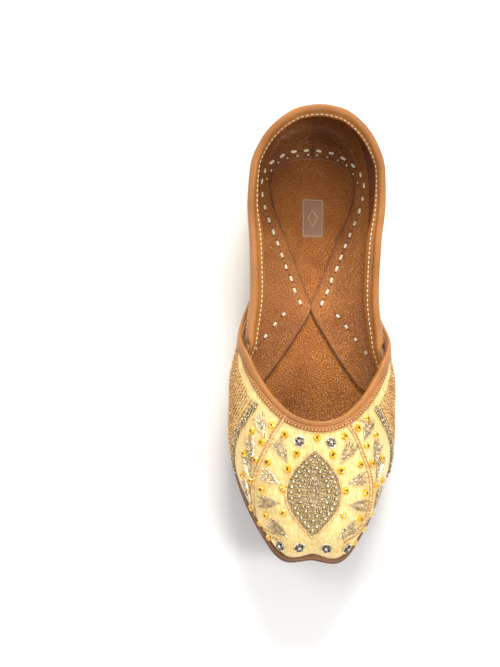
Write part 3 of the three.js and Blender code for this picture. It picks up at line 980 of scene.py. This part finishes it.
# Lifts: the vamp's leather under its cloth, the quarter's cloth and the joint below it.
VAMP_LEATHER = 1.1
QUARTER_FACE = 0.38
QUARTER_LEATHER = -1.0
LAYER_GAP = 0.05

# Most that the vamp's ears stand off, that cloth rounds in at the feather line and draws back at the
# toe, and that the quarter sinks under the vamp.
EAR_FLARE = 1.7
FEATHER_ROUND = 0.9
TOE_TUCK = 1.1
LAP_SINK = 0.5

# Distance between the sewn channels of the quarter.
CHANNEL_PITCH = 4.6


def vamp_grid(turns, rises):
    """Turn and rise over the vamp, from its rear edge on the right to the one on the left."""
    share, rise = np.meshgrid(np.linspace(0, 1, turns), np.linspace(0, 1, rises), indexing="ij")
    rear = vamp_rear(rise)
    return rear + (2 - 2 * rear) * share, rise


def quarter_grid(turns, rises):
    """Turn and rise over the quarter, from its front edge on the left to the one on the right."""
    turn, share = np.meshgrid(np.linspace(-QUARTER_FRONT, QUARTER_FRONT, turns),
                              np.linspace(0, 1, rises), indexing="ij")
    return turn, share * quarter_top(np.abs(turn))


def ear_flare(turn, rise):
    """How far the vamp's ear stands off the quarter."""
    back = np.minimum(turn, 2 - turn) - vamp_rear(rise)
    return EAR_FLARE * smooth(rise, 0.55, 1) * (1 - smooth(back, 0.0, 0.085))


def turned_under(rise):
    """How far the cloth rounds in toward the feather line."""
    return FEATHER_ROUND * np.clip(1 - rise / 0.035, 0, 1) ** 2


def toe_tuck(turn, rise):
    """How far the cloth draws back over the sole's edge at the toe."""
    toe = smooth(np.minimum(turn, 2 - turn), 0.72, 0.9)
    return TOE_TUCK * toe * np.clip(1 - rise / 0.16, 0, 1) ** 1.5


def quilting(points, rise):
    """Sewn channels that run along the quarter, in millimetres of depth."""
    depth, narrowness = 0.34, 0.16
    wave = np.abs(np.mod(points[..., 2] / CHANNEL_PITCH, 1) - 0.5) * 2
    return depth * np.exp(-((1 - wave) / narrowness) ** 2) * smooth(rise, 0.04, 0.1)


def upper():
    """Vamp and quarter, each as cloth over leather. Returns both faces."""
    turn, rise = vamp_grid(300, 84)
    flare, tuck = ear_flare(turn, rise), toe_tuck(turn, rise)
    face = lifted(turn, rise, VAMP_WALL - turned_under(rise) - tuck + flare)
    face -= last_normal(turn, rise) * crease_depth(face)[..., None]
    between = VAMP_LEATHER + flare - 0.9 * tuck
    shell("vamp_cloth", face, lifted(turn, rise, between + LAYER_GAP), VAMP_SILK, "gold_cloth",
          ("upper",))
    shell("vamp_lining", lifted(turn, rise, between), lifted(turn, rise, flare - tuck),
          LINING_BROWN, "lining_leather", ("upper",))

    turn, rise = quarter_grid(380, 84)
    covered = smooth(np.abs(turn), vamp_rear(rise) - 0.02, vamp_rear(rise) + 0.012)
    outside = lifted(turn, rise, QUARTER_FACE - LAP_SINK * covered - turned_under(rise))
    sunk = (crease_depth(outside) + quilting(outside, rise)) * (1 - covered)
    outside -= last_normal(turn, rise) * sunk[..., None]
    shell("quarter_cloth", outside, lifted(turn, rise, QUARTER_LEATHER + LAYER_GAP), QUARTER_SILK,
          "gold_cloth", ("upper",))
    shell("quarter_lining", lifted(turn, rise, QUARTER_LEATHER), lifted(turn, rise, -QUARTER_WALL),
          LINING_BROWN, "lining_leather", ("upper",))
    return Skin(face), Skin(outside)


def edging_section(width_out, width_in, wall, inner, splay=0.0):
    """Folded edging in (depth, lift): a rounded rim, a groove, then a flat band on both sides.

    "width_out" and "width_in" are the bands' depths, "wall" and "inner" the lifts of both faces.

    The inner band stands off the lining by "splay" at its lower edge.
    """
    band, rim, groove = 0.95, 1.3, 1.9
    top, low = wall + rim, inner - 0.1
    middle, half = (top + low) / 2, (top - low) / 2
    flat = [(groove + share * (width_out - groove), wall + band - sink)
            for share, sink in ((0.74, 0), (0.58, 0.14), (0.42, 0), (0.16, 0))]
    outside = [
        (width_out, wall + 0.1), (width_out, wall + 0.5), (width_out - 0.15, wall + 0.8),
        (width_out - 0.4, wall + band), *flat, (groove, wall + band - 0.28),
        (groove - 0.45, wall + band + 0.1), (0.8, wall + rim - 0.08),
    ]
    crown = [(-rim * math.sin(a), middle + half * math.cos(a)) for a in np.linspace(0, math.pi, 13)]
    inside = [
        (0.5, inner - 0.16 - 0.05 * splay), (0.75, inner - 0.45 - 0.15 * splay),
        (1.5, inner - 0.85 - 0.4 * splay), (2.2, inner - 1.05 - 0.6 * splay),
        (width_in - 0.5, inner - 1.3 - splay), (width_in - 0.1, inner - 0.9 - splay),
        (width_in, inner - 0.1 - 0.4 * splay), (0.2, inner), (-0.2, middle), (0.2, wall + 0.1),
    ]
    return np.array(outside + crown + inside)


def edging(name, path, normals, skin, sections, node):
    """Sweeps an edging section along the edge of a wall. The band follows the wall's curve."""
    heading = headings(path)
    beyond = unit(np.cross(heading, normals))
    loops = []
    for point, normal, out, section in zip(path, normals, beyond, sections):
        depth, lift = section[:, 0], section[:, 1]
        free = point - out * depth[:, None] + normal * lift[:, None]
        on = depth > 0
        place, local = skin.near(point - out * depth[on, None])
        free[on] = place + local * lift[on, None]
        loops.append(free)
    return sweep(name, np.array(loops), EDGING_TAN, "binding_leather", (node,))


def softened(values, passes):
    """Rounds the corners of a polyline, its ends kept."""
    values = values.copy()
    for _ in range(passes):
        values[1:-1] = values[1:-1] / 2 + (values[:-2] + values[2:]) / 4
    return values


def edge_rows(path, normals, skin, depth, lift, pitch, margin):
    """Places and axes at a depth below an edge, a pitch apart and a margin short of its ends."""
    beyond = unit(np.cross(headings(path), normals))
    place, local = skin.near(path - beyond * np.reshape(depth, (-1, 1)))
    line = np.hstack([place + local * lift, local])
    run = run_length(line[:, :3])[-1] - 2 * margin
    count = int(run / pitch)
    made = resample(line, margin + (np.arange(count) + 0.5) * run / count)
    return made[:, :3], basis(made[:, 3:], headings(made[:, :3]))


def vamp_edging(last_skin):
    """The vamp's edge in one run: up one rear edge, round the ear, along the throat and down."""
    rise = np.linspace(0.004, 0.985, 120)
    throat = np.linspace(EAR_TURN + 0.006, 2 - EAR_TURN - 0.006, 260)
    turn = np.concatenate([vamp_rear(rise), throat, 2 - vamp_rear(rise[::-1])])
    level = np.concatenate([rise, np.ones(len(throat)), rise[::-1]])
    edge = lifted(turn, level, ear_flare(turn, level))
    line = np.hstack([edge, last_normal(turn, level), (level >= 1)[:, None] * 1.0])
    total = run_length(edge)[-1]
    line = softened(resample(line, np.linspace(0, total, int(total / 0.75))), 12)
    path, normals, free = line[:, :3], unit(line[:, 3:6]), smooth(line[:, 6], 0.1, 0.95)
    sections = [
        edging_section(3.7 + 0.9 * f, 2.4 + 2.1 * f, VAMP_WALL, 1.5 * (1 - f)) for f in free
    ]
    edging("vamp_edging", path, normals, last_skin, sections, "throat_binding")
    return path, normals, free


# Lift of an edging's stitches over the wall that it lies on.
BAND_LIFT = 0.84

# How far the collar edging's inner band stands off the lining: turn, distance.
COLLAR_SPLAY = [(0, 1.4), (0.12, 1.2), (0.2, 0.6), (0.28, 1.4), (0.36, 3), (0.53, 3.2), (0.6, 2)]
collar_splay = column(COLLAR_SPLAY, 1)


def collar_edging(last_skin):
    """The collar's edging. Its outer band narrows and sinks where it runs under the vamp."""
    wide, narrow, inner_wide, sink = 5.4, 3.0, 4.6, 1.95
    turn = np.linspace(-QUARTER_FRONT, QUARTER_FRONT, 420)
    rise = quarter_top(np.abs(turn))
    path = softened(last(turn, rise), 10)
    normals = last_normal(turn, rise)
    under_vamp = smooth(np.abs(turn), 0.525, 0.552)
    leg = wide - (wide - narrow) * smooth(np.abs(turn), 0.49, 0.54)
    splay = collar_splay(np.abs(turn))
    sections = [
        edging_section(width, inner_wide, QUARTER_FACE - sink * under, -QUARTER_WALL, distance)
        for width, under, distance in zip(leg, under_vamp, splay)
    ]
    edging("collar_edging", path, normals, last_skin, sections, "collar_binding")
    return path, normals, splay


def edging_stitches(vamp, collar, vamp_skin, quarter_skin):
    """Needle holes as dark dots of painted shade, and thread on the outer bands, and larger cotton
    stitches on the inner one.
    """
    dot, dash = ball(7, 4), ball(8, 5)
    holes, threads, inner_threads = Crowd(), Crowd(), Crowd()
    path, normals, free = vamp
    collar_path, collar_normals, splay = collar
    for places, axes in (
        edge_rows(path, normals, vamp_skin, 3.0 + 0.5 * free, VAMP_WALL + BAND_LIFT, 1.8, 2),
        edge_rows(collar_path, collar_normals, quarter_skin, 3.98, QUARTER_FACE + BAND_LIFT, 2.6, 24),
    ):
        holes.spread(dot, places, axes, (0.42, 0.36, 0.2))
        between = (places[1:] + places[:-1]) / 2
        threads.spread(dash, between, axes[1:], (0.55, 0.24, 0.16))
    inward = -QUARTER_WALL - 0.98 - 0.5 * splay[:, None]
    rows = edge_rows(collar_path, collar_normals, quarter_skin, 1.85, inward, 2.6, 4)
    inner_threads.spread(dash, *rows, (0.95, 0.34, 0.34))
    inner_threads.make("edging_inner_threads", COTTON)
    holes.make("edging_holes", HOLE_SHADE)
    threads.make("edging_threads", EDGE_THREAD)


# ------------------------------
# Embroidery

# X of the embroidery's middle, a little to one side of the shoe's.
MIDDLE = -1.3

# Stones on each side of the vamp: distance from the embroidery's middle, y, z.
STONES = [
    (9.2, -73.4, 48.6), (13.6, -81.2, 47.2), (16, -91.1, 45.5), (15.3, -103.2, 43.7),
    (15.2, -63.5, 47.6), (23.4, -77.1, 43.7), (26.2, -90.7, 40.1), (23.9, -103.6, 38.1),
    (21.7, -58.4, 45.1), (26.4, -66.8, 42.4), (29.2, -75.6, 39.9), (31.6, -85.3, 35.6),
    (31.1, -60.3, 39.4), (34.7, -71.3, 34.8), (36.1, -81.5, 30.2),
    (32.9, -99, 25.5), (28.6, -107.8, 28.3), (23, -114.8, 30.7),
]
LONE_STONES = [(1.1, -65.1, 50), (26.6, -52.8, 43.2)]

# Leaves on each side: middle (x from the embroidery's middle, y, z), direction of the tip (x, y).
LEAVES = [
    ((16.6, -71.8, 46.9), (-0.5, -0.87)), ((21.7, -85.3, 43.9), (-0.94, -0.33)),
    ((22.8, -97.5, 41.1), (-1, 0.02)), ((17.7, -110.9, 40.3), (-0.87, -0.5)),
    ((26.6, -58.2, 42.5), (-0.28, -0.96)), ((31.6, -69.1, 38.3), (-0.16, -0.99)),
    ((32.9, -78.2, 35.6), (-0.34, -0.94)), ((32.8, -90.5, 30.8), (-0.12, -0.99)),
]

FLOWERS = [(8.2, -67.1, 49.1), (-7.8, -67.1, 49.1), (18, -118.4, 35.2), (-15.6, -118.6, 36.2),
           (7.6, -119.5, 38.3), (-6.2, -119.4, 38.3)]

# Couched border between the inner and the outer field: distance from the middle, y.
BORDER = [(14.6, -53.6), (18.3, -59.7), (20.8, -63.6), (24.5, -71.6), (28, -79.8), (29.7, -87.6),
          (29.1, -96), (27.4, -103), (23.2, -109.6), (16, -115)]

# A leaf's wires: length as made, radius, and for each pair its place along and aside, and its length.
WIRE_LENGTH = 5.4
WIRE_RADIUS = 0.42
LEAF_PAIRS = [(-3.4, 1.35, 4.8), (-1.5, 1.45, 5.6), (0.5, 1.35, 5.6), (2.4, 1, 4.8)]
LEAF_LEAN = 26

# Almond-shaped motif: middle y, half height, half width.
MOTIF_Y, MOTIF_HALF_HEIGHT, MOTIF_HALF_WIDTH = -93.1, 21.6, 14.0
BEAD_RINGS = (2.6, 6.5)
CHAIN_RINGS = (1.1, 4.15, 4.95, 8.1, 8.9, 9.8, 10.6)

# Heel ornament: stones (x, z), leaves (x, z, tip x, tip z), flower (x, z).
HEEL_STONES = [(4, 38), (7.5, 29), (12.5, 24), (0, 21), (9, 16), (16, 13.5)]
HEEL_LEAVES = [(8, 34, 0.7, -0.7), (12.5, 20.5, 0.6, 0.8), (0.01, 31.5, 0, -1)]
HEEL_FLOWER = (0, 46.5)

# The side panel's front line on the +X side: rise, y. Number of its rows and distance between them.
PANEL_FRONT = [(0, -77.5), (0.3, -70), (0.5, -61), (0.7, -53.5), (0.85, -47), (1, -40.5)]
PANEL_ROWS = 26
PANEL_PITCH = 2.3
panel_front = column(PANEL_FRONT, 1)


def heel_places(skin, spots):
    """Places and normals on the quarter's heel, nearest to the wanted x and z."""
    turn, rise = np.linspace(-0.16, 0.16, 161), np.linspace(0.02, 0.98, 80)
    points = last(turn[:, None], rise).reshape(-1, 3)
    nearest = [np.argmin(np.abs(points[:, 0] - x) + np.abs(points[:, 2] - z)) for x, z in spots]
    return skin.near(points[nearest])


def stone_parts():
    """A round cut stone: its body and, as a separate shape, its middle facets, dark as a painted
    reflection.
    """
    body = turned([(1.7, -0.5), (1.95, 0.0), (1.95, 0.45), (1.3, 1.15), (0.95, 1.3)], 12, 0.26)
    return body, turned([(0.98, 1.18), (0.86, 1.34), (0.4, 1.42)], 8, 0.3)


def stones(vamp_skin, quarter_skin):
    """Cut stones on the vamp and at the heel."""
    bodies, tables = Crowd(), Crowd()
    body, table = stone_parts()

    def set_stone(place, normal):
        spin = chance.uniform(0, math.pi)
        axes = basis(normal + chance.normal(0, 0.05, 3), (math.cos(spin), math.sin(spin), 0.2))
        size = chance.uniform(0.94, 1.04)
        bodies.add(body, place, axes, (size,) * 3)
        tables.add(table, place, axes, (size,) * 3)

    spots = [(MIDDLE + across * x, y, z) for x, y, z in STONES for across in (1, -1)]
    spots += [(MIDDLE + x, y, z) for x, y, z in LONE_STONES]
    for place, normal in zip(*vamp_skin.near(spots)):
        set_stone(place, normal)
    spots = [(across * x, z) for x, z in HEEL_STONES for across in ((1, -1) if x else (1,))]
    for place, normal in zip(*heel_places(quarter_skin, spots)):
        set_stone(place, normal)
    bodies.make("stones", AMBER, sharp=8)
    # The middle facets' dark amber is a painted dark reflection.
    tables.make("stone_tables", AMBER_DARK_REFLECTION, sharp=8)


def leaf(crowd, place, normal, heading, shape, size=1.2):
    """A leaf of short coiled wires: a midrib, and pairs that lean in to it and point at the tip."""
    axes = basis(normal, heading)

    def wire(along, aside, lean, length):
        spread = math.radians(lean + chance.normal(0, 3))
        run = math.cos(spread) * axes[:, 0] + math.sin(spread) * axes[:, 1]
        off = axes[:, 2] * WIRE_RADIUS
        middle = place + (axes[:, 0] * along + axes[:, 1] * aside) * size + off
        thick = 1 + chance.normal(0, 0.06)
        crowd.add(shape, middle, basis(normal, run), (length * size / WIRE_LENGTH, thick, thick))

    wire(3.6, 0, 0, 4.4)
    wire(-3.4, 0, chance.normal(0, 3), 4.6)
    for along, aside, length in LEAF_PAIRS:
        for flank in (1, -1):
            wire(along + chance.normal(0, 0.2), flank * aside, -LEAF_LEAN * flank, length)


def leaves(vamp_skin, quarter_skin):
    """Leaves of wire on the vamp and at the heel."""
    crowd = Crowd()
    wire = coil(WIRE_LENGTH, WIRE_RADIUS, 12)
    for (x, y, z), (tip_x, tip_y) in LEAVES:
        for across in (1, -1):
            place, normal = vamp_skin.near([(MIDDLE + across * x, y, z)])
            heading = np.array([across * tip_x, tip_y, 0]) + chance.normal(0, 0.06, 3)
            leaf(crowd, place[0], normal[0], heading, wire)
    for x, z, tip_x, tip_z in HEEL_LEAVES:
        for across in (1, -1):
            place, normal = heel_places(quarter_skin, [(across * x, z)])
            leaf(crowd, place[0], normal[0], (across * tip_x, 0, tip_z), wire, 0.9)
    crowd.make("leaves", PURL)


def flowers(vamp_skin, quarter_skin):
    """Metal flowers of six petals on sequins, each with a stone in its middle."""
    sequins, petals, centres = Crowd(), Crowd(), Crowd()
    disc = turned([(2.9, 0.0), (3.1, 0.16), (2.9, 0.32), (1.2, 0.3)], 32, 0, 0.07, 8)
    cup = turned([(2.0, 0.2), (2.35, 0.55), (2.2, 1.0), (1.4, 0.85), (0.9, 0.7)], 36, 0, 0.13, 6)
    petal = ball(8, 5)
    places, normals = vamp_skin.near([(MIDDLE + x, y, z) for x, y, z in FLOWERS])
    heel, heel_normal = heel_places(quarter_skin, [HEEL_FLOWER])
    for place, normal in zip(np.vstack([places, heel]), np.vstack([normals, heel_normal])):
        spin = chance.uniform(0, math.pi)
        axes = basis(normal, (math.cos(spin), math.sin(spin), 0.1))
        sequins.add(disc, place, axes)
        petals.add(cup, place, axes)
        for angle in corners(6):
            out = axes[:, 0] * math.cos(angle) + axes[:, 1] * math.sin(angle)
            middle = place + out * 1.75 + axes[:, 2] * 0.95
            petals.add(petal, middle, basis(normal, out), (0.75, 0.55, 0.35))
        centres.add(petal, place + axes[:, 2] * 1.1, axes, (0.95, 0.95, 0.6))
    sequins.make("flower_sequins", SEQUIN)
    petals.make("flower_petals", DARK_SILVER)
    centres.make("flower_centres", CLEAR, sharp=20)


def almond(inset, pitch):
    """Plan points round the motif, moved in from its outline, about a pitch apart."""
    half_width = MOTIF_HALF_WIDTH - inset
    half_height = MOTIF_HALF_HEIGHT - 1.26 * inset
    y = half_height * np.sin(np.linspace(-math.pi / 2, math.pi / 2, 120))
    right = np.stack([half_width * (1 - (y / half_height) ** 2), y], 1)
    loop = np.vstack([right, right[::-1] * (-1, 1)]) + (MIDDLE, MOTIF_Y)
    return evenly(loop, pitch)[:-1]


def motif(skin):
    """An almond of bead rings and chains in a cord, with coiled wires in its middle."""
    bead, small, wire = ball(10, 6), ball(7, 4), coil(4.0, 0.5)
    rounds, tops, chain, core = Crowd(), Crowd(), Crowd(), Crowd()

    def ring(crowd, inset, pitch, shape, size, lift):
        places, normals = skin.under(almond(inset, pitch))
        heading = np.roll(places, -1, 0) - np.roll(places, 1, 0)
        crowd.spread(shape, places + normals * lift, basis(normals, heading), size)

    def core_wire(x, y, lift, heading, size):
        place, normal = skin.under([(MIDDLE + x, MOTIF_Y + y)])
        core.add(wire, place[0] + normal[0] * lift, basis(normal[0], heading), size)

    line = almond(0, 0.35)
    sweep("motif_cord", cord_loops(*skin.under(np.vstack([line, line[:1]])), 0.62), PALE_CORD)
    for inset in BEAD_RINGS:
        ring(rounds, inset, 2.8, bead, (1.22, 1.18, 1.0), 0.5)
        ring(tops, inset, 2.8, small, (0.55, 0.55, 0.3), 1.4)
    for inset in CHAIN_RINGS:
        ring(chain, inset, 1.45, small, (0.62, 0.44, 0.5), 0.35)
    for share in (np.arange(9) + 0.5) / 9:
        half = 2.2 * (1 - (2 * share - 1) ** 2) + 0.3
        for flank in (1, -1):
            core_wire(flank * half * 0.75, 15.2 * (share - 0.5), 0.5, (-flank * 0.5, -1, 0),
                      (0.4 + 0.2 * half, 1, 1))
    for y in (-6.4, -3.2, 0.0, 3.2, 6.4):
        core_wire(0, y, 0.8, (0, -1, 0), (0.8, 0.9, 0.9))
    rounds.make("motif_beads", OLD_GOLD)
    tops.make("motif_bead_tops", CLEAR)
    chain.make("motif_chain", SEED)
    core.make("motif_core", PURL)


def border(skin):
    """Pale couched cord and a chain of beads between the two fields of the vamp."""
    chain, small = Crowd(), ball(7, 4)
    for across, name in ((1, "right"), (-1, "left")):
        plan = evenly(spline([(MIDDLE + across * x, y) for x, y in BORDER], 16), 0.35)
        sweep(f"border_cord_{name}", cord_loops(*skin.under(plan), 0.6), PALE_CORD)
        outward = across_plan(headings(plan)) * across
        line = evenly(plan + outward * 1.35, 1.5)
        chain.follow(small, *skin.under(line), (0.62, 0.5, 0.45), 0.3)
    chain.make("border_chain", GOLD_BEAD)


def panel_line(shift, rises, from_throat, from_ground, from_rear=-1.0):
    """The vamp's face on the panel's front line, moved toward the heel and cut by its margins."""
    turns = np.linspace(0.4, 1.0, 260)
    y = last(turns[:, None], rises)[..., 1]
    goal = panel_front(rises) + shift
    turn = np.array([np.interp(-goal[k], -y[:, k], turns) for k in range(len(rises))])
    line = lifted(turn, rises, VAMP_WALL)
    throat_gap = np.linalg.norm(line - last(turn, 1), axis=1)
    ground_gap = line[:, 2] - underside(line[:, 1])
    inside = (turn > vamp_rear(rises) + from_rear) & (throat_gap > from_throat)
    return line[inside & (ground_gap > from_ground)]


def side_panels(skin):
    """Rows of gold beads on the vamp's sides, behind a band of silver seed beads."""
    rows, seeds = Crowd(), Crowd()
    grain, seed = ball(7, 5), ball(7, 4)
    rises = np.linspace(0.13, 0.985, 120)
    for k in range(PANEL_ROWS):
        line = panel_line(3.6 + k * PANEL_PITCH, rises, 9.2, 12.5, 0.028)
        if len(line) < 4 or run_length(line)[-1] < 5:
            continue
        points = evenly(line, PANEL_PITCH * 0.94, 0.4)
        points = points + headings(points) * chance.normal(0, 0.12, (len(points), 1))
        places, normals = skin.near(points)
        for _, place, normal, along in both_sides(places, normals, headings(places)):
            size = (0.98 + chance.normal(0, 0.06), 0.6, 0.55)
            rows.add(grain, place + normal * 0.28, basis(normal, along), size)
    rises = np.linspace(0.1, 0.985, 160)
    for shift in np.arange(-1.3, 1.31, 0.65):
        line = panel_line(shift, rises, 8.2, 10.5)
        for flip, place, normal in both_sides(*skin.near(evenly(line, 1.15))):
            jitter = chance.normal(0, 0.22, 3) * flip
            size = np.array([0.62, 0.56, 0.6]) * chance.uniform(0.8, 1.15)
            axes = basis(normal, chance.normal(0, 1, 3))
            seeds.add(seed, place + jitter + normal * (0.35 + chance.uniform(0, 0.5)), axes, size)
    rows.make("panel_beads", GOLD_BEAD)
    seeds.make("panel_band", SEED)


def below_collar(turn, depth):
    """The rise of a line at a depth below the collar."""
    step = 0.1
    return 1 - depth * step / np.linalg.norm(last(turn, 1) - last(turn, 1 - step), axis=1)


def collar_cords(skin):
    """Two pale cords couched below the collar edging."""
    turn = np.linspace(-0.475, 0.475, 900)
    for depth, name in ((10.2, "upper"), (11.8, "lower")):
        line = skin.near(last(turn, below_collar(turn, depth)))
        sweep(f"collar_cord_{name}", cord_loops(*line, 0.34, 7), PALE_CORD)


def quilting_threads(skin):
    """Stitches along the quarter's sewn channels, where neither cords nor vamp cover them."""
    threads, dash = Crowd(), ball(6, 4)
    turns, rises = np.linspace(-0.5, 0.5, 1000), np.linspace(0.02, 1, 90)
    heights = last(turns[:, None], rises)[..., 2]
    for level in np.arange(2 * CHANNEL_PITCH, HEEL_HEIGHT - 3 * CHANNEL_PITCH, CHANNEL_PITCH):
        rise = np.array([np.interp(level, height, rises) for height in heights])
        clear = (rise < below_collar(turns, 13)) & (rise > 0.03)
        clear &= np.abs(turns) < vamp_rear(rise) - 0.03
        for run in np.split(np.arange(len(turns)), np.flatnonzero(np.diff(clear)) + 1):
            if clear[run[0]] and len(run) >= 8:
                line = evenly(last(turns[run], rise[run]), 2.4)
                threads.follow(dash, *skin.near(line), (0.75, 0.16, 0.13))
    threads.make("quilting_threads", PALE_CORD)


camera()
studio()
sole()
vamp_skin, quarter_skin = upper()
turns, rises = vamp_grid(300, 90)
vamp_last = Skin(lifted(turns, rises, ear_flare(turns, rises)))
turns, rises = quarter_grid(320, 70)
quarter_last = Skin(last(turns, rises))
vamp_edge = vamp_edging(vamp_last)
collar_edge = collar_edging(quarter_last)
edging_stitches(vamp_edge, collar_edge, vamp_last, quarter_last)
stones(vamp_skin, quarter_skin)
leaves(vamp_skin, quarter_skin)
flowers(vamp_skin, quarter_skin)
motif(vamp_skin)
border(vamp_skin)
side_panels(vamp_skin)
collar_cords(quarter_skin)
quilting_threads(quarter_skin)
